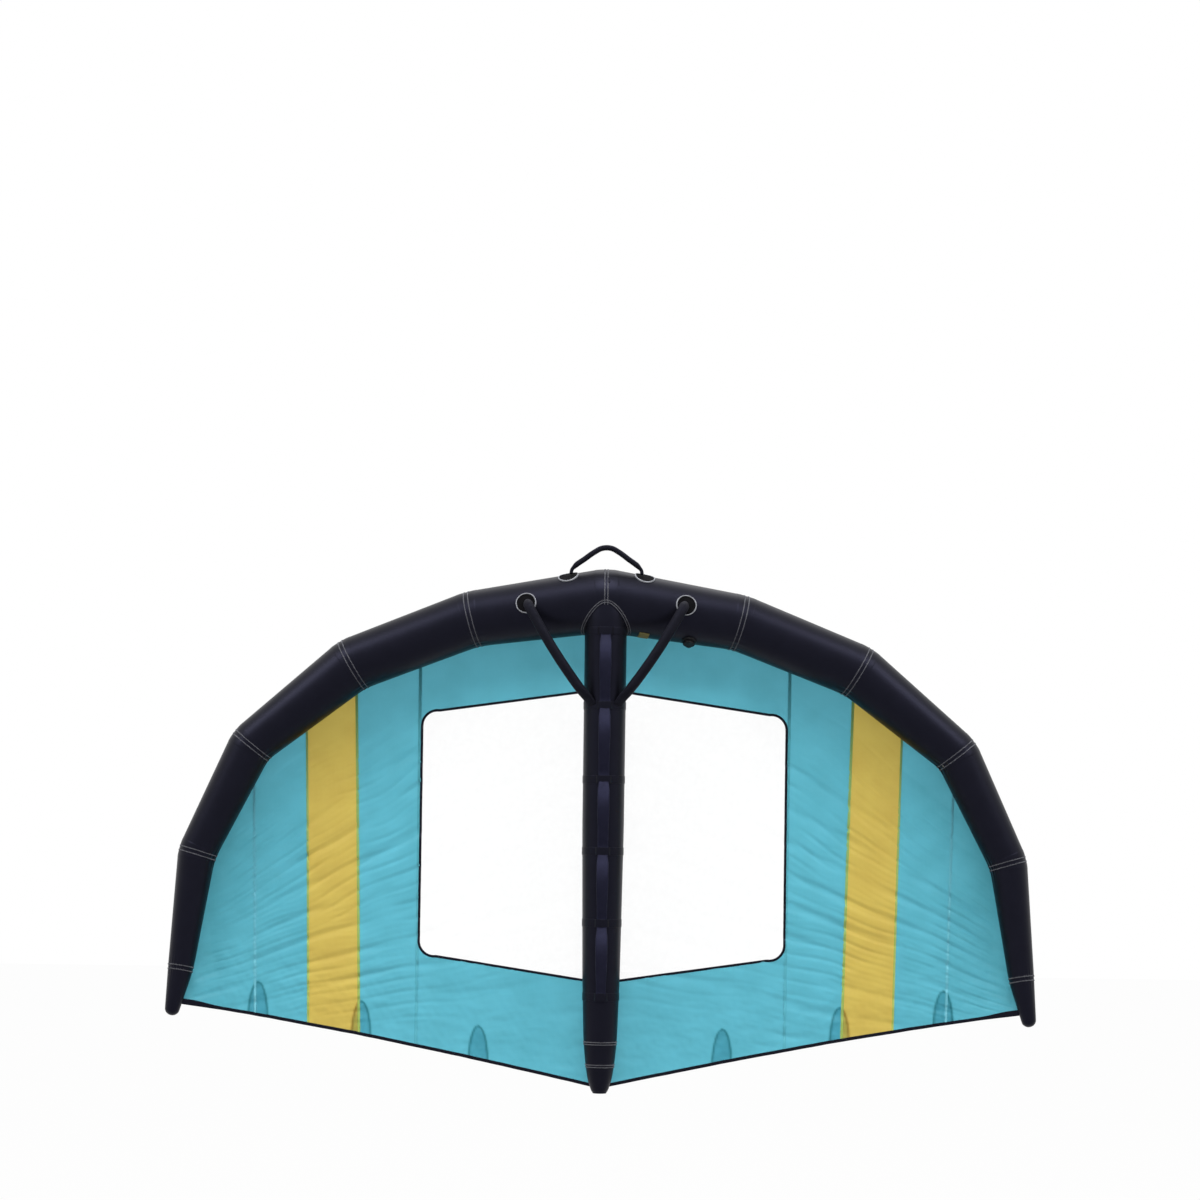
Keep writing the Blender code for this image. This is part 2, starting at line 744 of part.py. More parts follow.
def build_patches():
    """Six tongue-shaped reinforcements on the canopy's outer side, standing on the trailing edge."""
    for side in (-1, 1):
        for number, share in enumerate(PATCH_CENTER_SHARES, start=1):
            name = f"te_patch_{number}_{side_name(side)}"
            patch = cloth_grid(name, te_stations(), PATCH_THICKNESS, cyan_ripstop(), CLOTH + PATCH_LIFT)
            boolean(patch, patch_prism(f"{name}_prism", side * share * HALF_SPAN), "INTERSECT")


def strut_underside(reach, offset):
    """The height of the strut's lowest line, with an offset off it."""
    return strut_axis(reach)[1] - strut_radius(reach) - offset


def build_strip():
    """The webbing strip sewn along the strut's underside, wrapped a little round it."""
    start = LOOP_FIRST - STRIP_END
    end = LOOP_FIRST + LOOP_COUNT * LOOP_PITCH + STRIP_END
    turns = np.linspace(-1.0, 1.0, 5) * STRIP_WIDTH / 2 / STRUT_RADIUS - math.pi / 2
    knots = [share * STRUT_REACH for share, _ in SLEEVE_PROFILE_SHARES if start < share * STRUT_REACH < end]
    rings = []
    for reach in [start] + knots + [end]:
        radius = strut_radius(reach)
        low = strut_ring(reach, radius + GAP, turns)
        high = strut_ring(reach, radius + GAP + STRIP_THICKNESS, turns)
        rings.append(np.concatenate((low, high[::-1])))
    loft("strut_handle_strip", rings, webbing())


def build_loops():
    """The handle loops: flat webbing sewn down at both feet, with a bow between them that is fullest
    near the front.
    """
    for number in range(LOOP_COUNT):
        start = LOOP_FIRST + number * LOOP_PITCH + GAP / 2
        end = LOOP_FIRST + (number + 1) * LOOP_PITCH - GAP / 2
        foot = LOOP_FOOT / 2
        bow = np.linspace(start + foot, end - foot, LOOP_STATIONS)
        bow_share = (bow - bow[0]) / (bow[-1] - bow[0])
        reaches = np.concatenate(((start,), bow, (end,)))
        turn = bow_share ** LOOP_SKEW_SHARE * math.pi
        bow_rise = LOOP_RISE * np.sin(turn).clip(0.0) ** LOOP_FULLNESS_SHARE
        rises = np.concatenate(((0.0,), bow_rise, (0.0,)))
        base = GAP + STRIP_THICKNESS + GAP
        line = np.array([(strut_underside(r, base + rise), -r) for r, rise in zip(reaches, rises)])
        tangent = np.gradient(line, axis=0)
        tangent /= np.linalg.norm(tangent, axis=1)[:, None]
        outward = np.stack((tangent[:, 1], -tangent[:, 0]), axis=1)
        outward *= np.sign(-outward[:, :1])
        half = LOOP_WIDTH / 2
        rings = []
        for point, off in zip(line, outward):
            far = point + off * LOOP_THICKNESS
            rings.append(np.array((
                (-half, *point), (half, *point), (half, *far), (-half, *far),
            )))
        made = loft(f"strut_handle_{number + 1}", rings, webbing())
        made.data.shade_flat()


def eyelet(name, side, x, turn):
    """A ringed eyelet moulded to the tube: a thin floor with a raised rounded rim."""
    rim = (EYELET_RADIUS + EYELET_MOUTH) / 2
    floor = EYELET_FLOOR
    steps = [EYELET_RADIUS * share for share in EYELET_FLOOR_SHARES]
    profile = [(radius, GAP) for radius in steps]
    profile += [(EYELET_RADIUS, GAP), (EYELET_RADIUS, floor), (rim, EYELET_HEIGHT), (EYELET_MOUTH, floor)]
    profile += [(steps[1], floor), (steps[0], floor)]
    circle = on_turn(full_turn(EYELET_SIDES), np.array((1.0, 0.0)), np.array((0.0, 1.0)))
    rings = []
    for radius, height in profile:
        flat = circle * radius
        rings.append(LE.surface(side, x, turn, flat[:, 0], flat[:, 1], np.full(len(flat), height)))
    return loft(name, rings, eyelet_rubber())


def build_eyelets():
    for side in (-1, 1):
        place = side_name(side)
        eyelet(f"front_eyelet_{place}", side, FRONT_EYELET_X, -FRONT_EYELET_TURN)
        eyelet(f"v_eyelet_{place}", side, V_EYELET_X, -V_EYELET_TURN)


def swept(name, path, wide, flat, half_widths, half_depths, finish):
    """A solid with an oval section along a path. Wide is the direction of the section's width at each
    place.
    """
    angles = full_turn(HANDLE_SIDES)
    rings = []
    for place, across, off, width, depth in zip(path, wide, flat, half_widths, half_depths):
        rings.append(place + np.outer(np.cos(angles) * width, across) + np.outer(np.sin(angles) * depth, off))
    return loft(name, rings, finish)


def front_hinge():
    """The point where the front handle's hinge line crosses the middle plane."""
    low, normal = LE.spot(1, FRONT_EYELET_X, -FRONT_EYELET_TURN)
    rise = EYELET_FLOOR + GAP + FRONT_FOOT_RADIUS + FRONT_FOOT_CLEARANCE
    return low + normal * rise


def build_front_handle():
    """The front handle: padded webbing from one eyelet over the crest to the other, with rounded feet."""
    hinge = front_hinge()
    top = FRONT_HANDLE_CREST - hinge[2]
    foot = FRONT_FOOT_RADIUS
    depth = FRONT_FOOT_THICKNESS / 2
    half = [(hinge[0], -foot * drop, foot * width, depth) for drop, width in FRONT_FOOT_SHARES]
    half += [(hinge[0], 0.0, foot, depth)]
    for span, height in FRONT_HANDLE_SHARES:
        half.append((span * hinge[0], height * top, FRONT_HANDLE_WIDTH / 2, FRONT_HANDLE_THICKNESS / 2))
    wider = mix(foot, FRONT_HANDLE_WIDTH / 2, 1 / 2)
    deeper = mix(depth, FRONT_HANDLE_THICKNESS / 2, 1 / 2)
    half[3] = (*half[3][:2], wider, deeper)
    crest = [(0.0, top, FRONT_HANDLE_WIDTH / 2, FRONT_HANDLE_THICKNESS / 2)]
    places = np.array(half + crest + [(-x, *rest) for x, *rest in half[::-1]])
    path = np.stack((places[:, 0], np.full(len(places), hinge[1]), hinge[2] + places[:, 1]), axis=1)
    tangent = np.gradient(path, axis=0)
    tangent /= np.linalg.norm(tangent, axis=1)[:, None]
    wide = np.tile(UP, (len(path), 1))
    flat = np.cross(tangent, wide)
    for end, way in ((slice(0, 3), -1), (slice(-3, None), 1)):
        flat[end] = ACROSS * way
    made = swept("front_handle", path, wide, flat, places[:, 2], places[:, 3], handle_padding())
    place_on_hinge(made, np.array((0.0, hinge[1], hinge[2])))


def place_on_hinge(made, hinge):
    """Moves the object's origin to its joint's axis and leaves its shape where it is."""
    for vertex in made.data.vertices:
        vertex.co = vertex.co - type(vertex.co)(hinge)
    made.location = hinge


def v_handle_path(side):
    """The handle's middle line: out of its eyelet, then in one bow down to the strut's underside."""
    start, normal = LE.spot(side, V_EYELET_X, -V_EYELET_TURN, EYELET_FLOOR + 2 * GAP)
    off = np.array((side * math.sin(V_END_TURN), -math.cos(V_END_TURN), 0.0))
    away = strut_radius(V_END_REACH) + GAP + V_END_THICKNESS
    end = strut_axis(V_END_REACH) + off * away
    line = start - end
    line[1] = 0.0
    landing = unit(unit(line) + off * V_LANDING_SLOPE)
    controls = (start, start + normal * V_RISE, end + landing * V_LANDING, end)
    share = np.linspace(0.0, 1.0, V_STATIONS)[:, None]
    rest = 1 - share
    path = rest ** 3 * controls[0] + 3 * rest ** 2 * share * controls[1]
    path = path + 3 * rest * share ** 2 * controls[2] + share ** 3 * controls[3]
    return path, off, normal


def build_v_handles():
    """The two padded handles, round at the eyelet and flattened where they are sewn to the strut."""
    for side in (-1, 1):
        path, off, normal = v_handle_path(side)
        tangent = np.gradient(path, axis=0)
        tangent[0] = normal
        tangent /= np.linalg.norm(tangent, axis=1)[:, None]
        wide = np.cross(tangent, off)
        wide /= np.linalg.norm(wide, axis=1)[:, None]
        flat = np.cross(wide, tangent)
        run = np.linspace(0.0, 1.0, len(path))
        flattening = np.clip(1 - (1 - run) / V_FLATTENING_SHARE, 0.0, 1.0)
        widths = mix(V_HANDLE_RADIUS, V_END_WIDTH, flattening)
        depths = mix(V_HANDLE_RADIUS, V_END_THICKNESS, flattening)
        swept(f"v_handle_{side_name(side)}", path, wide, flat, widths, depths, handle_padding())


def valve_frame():
    """The valve's place on the tube and its directions: out of the tube, along the tube and towards the
    canopy.
    """
    place, out = LE.spot(1, VALVE_X, VALVE_TURN)
    along = unit(ACROSS - (ACROSS @ out) * out)
    back = np.cross(along, out)
    return place, out, along, back * np.sign(back @ UP)


def valve_hole(name, radius):
    """A round cutter through the tube's wall at the valve."""
    place, out, _, _ = valve_frame()
    profile = ((radius, -LE_RADIUS / 2), (radius, LE_RADIUS / 2))
    return as_cutter(loft(name, revolve_rings(place, out, profile, ROUND_SIDES), black_dacron()))


def rod(name, middle, direction, radius, length, sides, finish):
    """A round bar centred on a point."""
    profile = ((radius, -length / 2), (radius, length / 2))
    return loft(name, revolve_rings(middle, direction, profile, sides), finish)


def block(name, middle, directions, sizes, finish):
    """A block centred on a point, with its edges along three directions."""
    along, across, up = [d * s / 2 for d, s in zip(directions, sizes)]
    square = np.array((along + across, along - across, -along - across, -along + across))
    return loft(name, [middle + square - up, middle + square + up], finish)


def cap_height():
    """Height of the cap's flat top above the tube's surface."""
    return VALVE_NECK_HEIGHT + VALVE_INSERT_LIP + GAP + VALVE_CAP_TOP


def valve_hinge():
    """A point on the cap's hinge line, level with the cap's top plate."""
    place, out, along, back = valve_frame()
    return place + back * VALVE_HINGE_REACH + out * (cap_height() - VALVE_KNUCKLE_RADIUS), along


def build_valve_base():
    """The flange moulded to the tube, the neck through the wall, and two lugs that carry the cap's pin."""
    place, out, along, back = valve_frame()
    plastic = valve_plastic()
    profile = ((VALVE_FLANGE_RADIUS, -VALVE_FLANGE_DEPTH), (VALVE_FLANGE_RADIUS, VALVE_FLANGE_HEIGHT))
    base = loft("valve_base", revolve_rings(place, out, profile, ROUND_SIDES), plastic)
    boolean(base, le_body("valve_saddle_cutter", GAP))
    depth = SLEEVE_WALL + BLADDER_SLACK + BLADDER_WALL + VALVE_FLANGE_DEPTH
    neck_profile = ((VALVE_NECK_RADIUS, -depth), (VALVE_NECK_RADIUS, VALVE_NECK_HEIGHT))
    neck = loft("valve_neck", revolve_rings(place, out, neck_profile, ROUND_SIDES), plastic)
    boolean(base, as_cutter(neck), "UNION")
    hinge, _ = valve_hinge()
    drop = (hinge - place) @ out - VALVE_FLANGE_HEIGHT / 2
    arc = on_turn(np.linspace(0.0, math.pi, HANDLE_SIDES // 2 + 1), back, out) * VALVE_KNUCKLE_RADIUS
    outline = hinge + np.concatenate((arc, arc[[-1, 0]] - out * drop))
    reach = VALVE_KNUCKLE_LENGTH / 2 + SLACK
    for way, name in ((-1, "near"), (1, "far")):
        faces = [outline + along * way * (reach + thick) for thick in (0.0, VALVE_LUG_LENGTH)]
        boolean(base, as_cutter(loft(f"valve_lug_{name}", faces, plastic)), "UNION")
    pin_length = VALVE_KNUCKLE_LENGTH + 2 * SLACK + VALVE_LUG_LENGTH
    pin = rod("valve_pin", hinge, along, VALVE_PIN_RADIUS, pin_length, HANDLE_SIDES, plastic)
    boolean(base, as_cutter(pin), "UNION")
    bore_profile = ((VALVE_BORE_RADIUS, -LE_RADIUS / 2), (VALVE_BORE_RADIUS, LE_RADIUS / 2))
    bore = loft("valve_bore_cutter", revolve_rings(place, out, bore_profile, ROUND_SIDES), plastic)
    boolean(base, as_cutter(bore))


def build_valve_insert():
    """The valve insert: a cup in the neck with a flat seat for a pump's nozzle and a hole to the bladder."""
    place, out, _, _ = valve_frame()
    lip = VALVE_NECK_HEIGHT + GAP
    body = VALVE_BORE_RADIUS - GAP
    top = VALVE_NECK_HEIGHT + VALVE_INSERT_LIP
    bottom = VALVE_NECK_HEIGHT - VALVE_INSERT_DEPTH
    profile = (
        (VALVE_SEAT_RADIUS, top), (VALVE_NECK_RADIUS, top), (VALVE_NECK_RADIUS, lip), (body, lip),
        (body, bottom), (VALVE_SEAT_RADIUS, bottom),
    )
    loft("valve_insert", revolve_rings(place, out, profile, ROUND_SIDES), valve_plastic(), closed=True)


def build_valve_cap():
    """The cap: a shallow cup over the neck, with a tongue and a knuckle round the hinge pin."""
    place, out, along, back = valve_frame()
    plastic = valve_plastic()
    top = cap_height()
    under = top - VALVE_CAP_TOP
    inner = VALVE_CAP_RADIUS - VALVE_CAP_WALL
    skirt = top - VALVE_CAP_DEPTH - VALVE_CAP_TOP
    bevel = VALVE_CAP_WALL / 2
    profile = (
        (inner, under), (inner, skirt), (VALVE_CAP_RADIUS, skirt), (VALVE_CAP_RADIUS, top - bevel),
        (VALVE_CAP_RADIUS - bevel, top),
    )
    cap = loft("valve_cap", revolve_rings(place, out, profile, ROUND_SIDES), plastic)
    hinge, _ = valve_hinge()
    reach = VALVE_HINGE_REACH - VALVE_CAP_RADIUS + VALVE_CAP_WALL / 2
    lift = VALVE_KNUCKLE_RADIUS - VALVE_TONGUE_THICKNESS / 2 - SLACK / 2
    middle = hinge - back * reach / 2 + out * lift
    sizes = (VALVE_KNUCKLE_LENGTH - SLACK, reach, VALVE_TONGUE_THICKNESS)
    tongue = block("valve_cap_tongue", middle, (along, back, out), sizes, plastic)
    length = VALVE_KNUCKLE_LENGTH
    knuckle = rod("valve_cap_knuckle", hinge, along, VALVE_KNUCKLE_RADIUS, length, HANDLE_SIDES, plastic)
    hole_radius = VALVE_PIN_RADIUS + VALVE_PIN_CLEARANCE
    hole = rod("valve_cap_hole", hinge, along, hole_radius, length + OVERRUN, HANDLE_SIDES, plastic)
    boolean(cap, as_cutter(tongue), "UNION")
    boolean(cap, as_cutter(knuckle), "UNION")
    boolean(cap, as_cutter(hole))


def clear_scene():
    for old in list(bpy.data.objects):
        bpy.data.objects.remove(old, do_unlink=True)


def build():
    clear_scene()
    build_le_panels()
    build_le_tips()
    build_le_bands()
    build_le_bladder()
    build_strut()
    build_strut_tail()
    build_strut_bladder()
    build_center_panel()
    build_side_panels()
    build_tip_panels()
    build_hem()
    build_patches()
    build_strip()
    build_loops()
    build_eyelets()
    build_front_handle()
    build_v_handles()
    build_valve_base()
    build_valve_insert()
    build_valve_cap()


build()
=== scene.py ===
"""A wing for wing foiling, dressed: an inflated leading edge and strut, handles, a striped canopy and its windows.

X runs along the span, +Y out of the canopy's upper side and +Z from the tail to the nose, all in metres.
A shape is a grid of points worked out from its formula, and every pattern follows real millimetres.
"""

import math

import bpy
import numpy as np
from mathutils import Matrix


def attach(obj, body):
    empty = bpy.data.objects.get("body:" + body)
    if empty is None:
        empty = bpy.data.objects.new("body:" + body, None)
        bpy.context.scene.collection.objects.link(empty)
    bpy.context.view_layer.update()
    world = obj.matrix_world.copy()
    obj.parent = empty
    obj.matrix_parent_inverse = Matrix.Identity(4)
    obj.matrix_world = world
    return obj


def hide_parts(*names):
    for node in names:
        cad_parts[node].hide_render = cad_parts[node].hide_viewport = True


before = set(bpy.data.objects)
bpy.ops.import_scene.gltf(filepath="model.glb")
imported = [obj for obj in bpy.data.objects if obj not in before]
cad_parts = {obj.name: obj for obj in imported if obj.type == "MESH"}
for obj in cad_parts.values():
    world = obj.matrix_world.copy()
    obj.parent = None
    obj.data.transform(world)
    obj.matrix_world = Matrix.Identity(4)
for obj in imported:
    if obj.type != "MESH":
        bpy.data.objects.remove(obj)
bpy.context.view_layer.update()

# ---------------------------------------------------------------- sizes, as in the part's source
HALF_SPAN = 1.659
SWEEP = 1.598
ARCH = 0.118
LE_RADIUS = 0.123
# Span, sweep, arch and radius at each joint of the leading edge, from the centre to the tip
LE_JOINT_SHARES = (
    (0.000, 0.000, 0.00, 1.000),
    (0.311, 0.046, 0.51, 0.882),
    (0.592, 0.159, 0.89, 0.850),
    (0.829, 0.358, 1.00, 0.703),
    (0.952, 0.623, 0.89, 0.598),
    (0.984, 0.904, 0.60, 0.402),
    (1.000, 1.000, 0.38, 0.236),
)
TIP_END_SHARES = ((0.45, 0.90), (0.82, 0.58), (0.97, 0.25))
BAND_WIDTH = 0.060
BAND_WALL = 0.0010
BLADDER_INSET = 0.0030

STRUT_REACH = 2.020
STRUT_RADIUS = 0.081
STRUT_DROP = 0.033
STRUT_BLADDER_START = 0.262
# Reach and radius along the strut, of its full reach and radius
STRUT_PROFILE_SHARES = (
    (0.0609, 1.000), (0.500, 0.988), (0.781, 0.889), (0.901, 0.796),
    (0.945, 0.690), (0.975, 0.568), (0.992, 0.450), (1.000, 0.300),
)
SLEEVE_END = 1.820

CLOTH = 0.0008
FILM = 0.0006
TE_CENTER_REACH = 1.995
TE_TIP_REACH = 1.700
TE_TIP_X = 1.609
TE_HOLLOW = 0.011
TE_LIFT = 0.020
VALLEY_WIDTH = 0.95
VALLEY_SHARE = 1.4
STRUT_BLEND = 0.47
HEM_WIDTH = 0.011
HEM_THICKNESS = 0.0024
HEM_OVERRUN = 0.022
WINDOW_INNER_X = 0.030
WINDOW_OUTER_X = 0.713
WINDOW_TOP_REACHES = (0.466, 0.557)
WINDOW_BOTTOM_REACHES = (1.596, 1.502)
WINDOW_CORNER = 0.060
# Top and bottom of each seam of the canopy, on the right
SEAMS = ((0.7240, 0.7160), (0.97678, 0.94065), (1.16993, 1.14006), (1.37537, 1.34794))
PATCH_CENTERS = (1.33699, 0.93203, 0.47199)
PATCH_WIDTH = 0.077
PATCH_HEIGHT = 0.125
PATCH_FULLNESS = 1.8

STRIP_WIDTH = 0.042
STRIP_THICKNESS = 0.0020
STRIP_START = 0.234
STRIP_END = 1.656
LOOP_COUNT = 5
LOOP_FIRST = 0.246
LOOP_PITCH = 0.2804
LOOP_FOOT = 0.034
LOOP_RISE = 0.042
LOOP_FULLNESS = 1.2
LOOP_SKEW = 0.8

FRONT_EYELET_X = 0.1262
FRONT_EYELET_TURN = math.radians(-24)
V_EYELET_X = 0.2916
V_EYELET_TURN = math.radians(-77)
FRONT_HINGE = np.array((0.13608, -0.03969, -0.01966))
FRONT_CREST = 0.078
FRONT_WIDTH = 0.033
FRONT_THICKNESS = 0.019
V_RADIUS = 0.019
# The right handle of the V, from its eyelet to its end on the strut
V_ROUTE = (
    (0.3010, -0.0806, -0.1405), (0.2970, -0.1140, -0.1520), (0.2550, -0.1400, -0.2290), (0.2090, -0.1430, -0.3060),
    (0.1520, -0.1370, -0.3920), (0.0900, -0.1240, -0.4760), (0.0580, -0.1150, -0.5150), (0.0500, -0.1120, -0.5300),
)

VALVE_PLACE = np.array((0.32154, -0.00534, -0.27444))
VALVE_OUT = np.array((-0.05715, -0.38405, -0.92154))
VALVE_ALONG = np.array((0.99837, -0.02198, -0.05275))
VALVE_BACK = np.array((0.0, 0.92305, -0.38468))
VALVE_FLANGE = (0.030, 0.0055)
VALVE_NECK = (0.0200, 0.0115)
VALVE_BORE = 0.0165
VALVE_SEAT = 0.0100
VALVE_LIP = 0.0020
VALVE_CAP = (0.0229, 0.0168)
VALVE_CAP_TOP = 0.0030
VALVE_CAP_DEPTH = 0.0026
VALVE_HINGE_REACH = 0.0275
VALVE_KNUCKLE = (0.0026, 0.0090)
VALVE_HINGE_HEIGHT = VALVE_CAP[1] - VALVE_KNUCKLE[0]

# ---------------------------------------------------------------- sizes that only the looks need
LE_ROUNDING = 0.030
LE_AROUND = 144
LE_STEP = 0.0065
CINCH = 0.0011
CINCH_WIDTH = 0.014
PUCKER = 0.0016
PUCKER_REACH = 0.042
STRUT_AROUND = 96
# The strut is drawn in a little where it is sewn to the leading edge
ROOT_DIP = 0.004
ROOT_DIP_LENGTH = 0.080
CLOTH_STEP = 0.0062
HOOP_REACHES = (0.246, 0.531, 0.815, 1.090, 1.365, 1.648)
HOOP_WIDTH = 0.030
THREAD = 0.0010
ZIGZAG_PITCH = 0.0062
ZIGZAG_WIDTH = 0.0036
ROW_APART = 0.017
CENTER_ROW_APART = 0.012
# Where the canopy lies on the tube behind its crest, in radians round it: bands and threads sink out of its way
CLOTH_START = math.radians(87)
CLOTH_SPREAD = 0.75
CLOTH_EDGE = 0.04
BAND_SINK = 0.0018
THREAD_SINK = 0.0050
BLADDER_AROUND = 48
BLADDER_STEP = 0.03
TAIL_EDGE = 0.004
TAIL_ROWS = (1.822, 1.831, 1.909, 1.918)
ROOT_ROWS = (0.006, 0.014)
LOOP_STAND = 0.00285
LOOP_ROWS = 76
SEAM_WIDTHS = (0.0125, 0.0105, 0.0085, 0.0090)
SEAM_ROWS = 240
# A sheet's mesh has two skins, this share of its cloth's thickness apart
SKIN_SHARE = 0.6
# Half length and half height of the bare patch at the centre of the leading edge
PATCH_SIZE = (0.045, 0.030)
# The point beyond each tip that its folds run out from, in x and z
FOLD_CENTER = (2.70, -2.02)
# Families of folds: spacing in radians, how far ripples turn them and how dense those are, how much waves shift
# them, their seed and density, and their height
FOLD_FAMILIES = (
    (0.058, 0.0, 1, 1.5, 0.0, 1.0, 0.0100),
    (0.027, 0.012, 2, 1.7, 2.0, 1.0, 0.0052),
    (0.013, 0.012, 3, 2.0, 5.0, 1.5, 0.0015),
)
CRINKLE = 0.0030
# Half widths and half depths of a hand loop at its feet and where it is widest
LOOP_WIDTHS = (0.0185, 0.0225)
LOOP_DEPTHS = (0.0021, 0.0031)
# How far the strut's hoops stand off it over the webbing
HOOP_OVER = 0.0068
# Middle radius, half width and rise of an eyelet's rim
RIM = (0.0378, 0.0026, 0.0050)
# The front handle's middle line from its foot to its crest: shares of its half width and its rise
FRONT_SHARES = ((1.0, 0.0), (0.985, 0.11), (0.905, 0.25), (0.62, 0.55), (0.34, 0.83), (0.15, 0.97), (0.0, 1.0))
# Radius and height off the tube of the rings of an eyelet's disc, from its edge to its middle
DISC_RINGS = np.array((
    (0.0362, 0.0020), (0.0352, 0.0042), (0.0335, 0.0048), (0.0310, 0.0042),
    (0.0290, 0.0030), (0.0200, 0.0024), (0.0100, 0.0022), (0.0010, 0.0022),
))

X = np.array((1.0, 0.0, 0.0))
Y = np.array((0.0, 1.0, 0.0))
Z = np.array((0.0, 0.0, 1.0))
SIDES = ((-1, "left"), (1, "right"))


# ---------------------------------------------------------------- small sums
def unit(v):
    return v / np.linalg.norm(v, axis=-1, keepdims=True)


def mix(a, b, share):
    return a + (b - a) * share


def ease(share):
    """Rises from 0 to 1 with level ends: 3 s^2 - 2 s^3."""
    s = np.clip(share, 0.0, 1.0)
    return s * s * (3 - 2 * s)


def turns(count):
    return np.arange(count) * 2 * math.pi / count


def rows_between(start, end, step):
    return np.linspace(start, end, max(2, int(math.ceil((end - start) / step)) + 1))


def heading_of(path, closed=False):
    """Direction of a path, or of a closed one, at each of its points."""
    return unit(np.roll(path, -1, axis=0) - np.roll(path, 1, axis=0) if closed else np.gradient(path, axis=0))


def distance_along(path):
    """Distance along a path at each of its points."""
    return np.concatenate(([0.0], np.cumsum(np.linalg.norm(np.diff(path, axis=0), axis=1))))


def zigzag(count, width):
    return np.where(np.arange(count) % 2, 1, -1) * width / 2


def ripple(x, z, seed):
    """Smooth, irregular waves between about -1 and 1: four sine waves across each other, bent by a fifth."""
    bend = np.sin(1.7 * x - 2.3 * z + seed)
    one = np.sin(3.1 * x + 1.3 * z + 2.0 * bend + seed * 1.9)
    two = np.sin(-1.9 * x + 4.3 * z + 1.1 * seed)
    three = np.sin(6.7 * x + 5.1 * z + 1.5 * bend + seed * 0.7)
    four = np.sin(-8.3 * x + 3.7 * z + seed * 2.3)
    return (one + two + 0.6 * three + 0.5 * four) / 3.1


def smooth_route(points, count):
    """A smooth line through points: cubic pieces whose slopes are the mean of their neighbours' steps."""
    points = np.asarray(points, float)
    knots = distance_along(points)
    slopes = np.gradient(points, knots, axis=0)
    along = np.linspace(0.0, knots[-1], count)
    piece = np.clip(np.searchsorted(knots, along, side="right") - 1, 0, len(knots) - 2)
    run = (knots[piece + 1] - knots[piece])[:, None]
    t = (along - knots[piece])[:, None] / run
    place = points[piece] * (2 * t**3 - 3 * t**2 + 1) + points[piece + 1] * (3 * t**2 - 2 * t**3)
    return place + run * (slopes[piece] * (t**3 - 2 * t**2 + t) + slopes[piece + 1] * (t**3 - t**2))


# ---------------------------------------------------------------- meshes from whole arrays
def grid_faces(rows, columns, wrap=False, flip=False):
    """Vertex numbers of a grid's quads. A wrapped grid joins its last column to its first."""
    last = columns if wrap else columns - 1
    row, column = np.meshgrid(np.arange(rows - 1), np.arange(last), indexing="ij")
    beside = (column + 1) % columns
    low, high = row * columns, (row + 1) * columns
    quads = np.stack((low + column, low + beside, high + beside, high + column), axis=-1).reshape(-1, 4)
    return quads[:, ::-1] if flip else quads


def grid_uvs(uv, flip=False):
    """UVs of a grid's corners, from one UV for each row and column, the closing column of a wrapped grid too."""
    corners = np.stack((uv[:-1, :-1], uv[:-1, 1:], uv[1:, 1:], uv[1:, :-1]), axis=2).reshape(-1, 4, 2)
    return corners[:, ::-1] if flip else corners


def add_object(name, data):
    made = bpy.data.objects.new(name, data)
    bpy.context.scene.collection.objects.link(made)
    return made


def add_piece(name, points, faces, finish, slot, stands_for=None, uvs=None, body="wing"):
    """Puts points, faces and a UV for each corner into a mesh that rides on a body and may stand for a solid.

    faces and uvs hold one array for each number of corners. Points that no face uses are left out.
    """
    numbers = np.concatenate([f.ravel() for f in faces])
    sizes = np.concatenate([np.full(len(f), f.shape[1]) for f in faces])
    used, numbers = np.unique(numbers, return_inverse=True)
    mesh = bpy.data.meshes.new(name)
    mesh.vertices.add(len(used))
    mesh.vertices.foreach_set("co", points.reshape(-1, 3)[used].astype(np.float32).ravel())
    mesh.loops.add(numbers.size)
    mesh.loops.foreach_set("vertex_index", numbers.astype(np.int32).ravel())
    mesh.polygons.add(len(sizes))
    mesh.polygons.foreach_set("loop_start", (np.cumsum(sizes) - sizes).astype(np.int32))
    if uvs is not None:
        layer = mesh.uv_layers.new(name="surface")
        layer.data.foreach_set("uv", np.concatenate([u.reshape(-1, 2) for u in uvs]).astype(np.float32).ravel())
    mesh.update(calc_edges=True)
    mesh.shade_smooth()
    mesh.materials.append(finish)
    made = add_object(name, mesh)
    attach(made, body)
    if stands_for:
        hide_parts(stands_for)
    return made


def wall(made, thickness, offset):
    """Gives a sheet its thickness: offset 1 adds it on the side that the faces point to, -1 on the other."""
    modifier = made.modifiers.new("thickness", "SOLIDIFY")
    modifier.thickness = thickness
    modifier.offset = offset
    return made


def joined(parts):
    """Several closed shapes as one: their points one after another, and their faces numbered on."""
    starts = np.cumsum([0] + [len(points) for points, _ in parts[:-1]])
    points = np.concatenate([points for points, _ in parts])
    faces = [f + start for start, (_, group) in zip(starts, parts) for f in group]
    return points, faces


def outward(points, faces):
    """Turns a closed shape's faces round if its volume comes out below zero."""
    volume = 0.0
    for f in faces:
        for corner in range(1, f.shape[1] - 1):
            a, b, c = points[f[:, 0]], points[f[:, corner]], points[f[:, corner + 1]]
            volume += (a * np.cross(b, c)).sum()
    return [f[:, ::-1] for f in faces] if volume < 0 else faces


def closed_shape(grid, looped=False):
    """A tube from its rings: closed by its end rings, or with its last ring joined to its first."""
    rows, around = grid.shape[:2]
    if looped:
        faces = [grid_faces(rows + 1, around, wrap=True) % (rows * around)]
    else:
        ring = np.arange(around)[None]
        faces = [grid_faces(rows, around, wrap=True), ring[:, ::-1], ring + (rows - 1) * around]
    points = grid.reshape(-1, 3)
    return points, outward(points, faces)


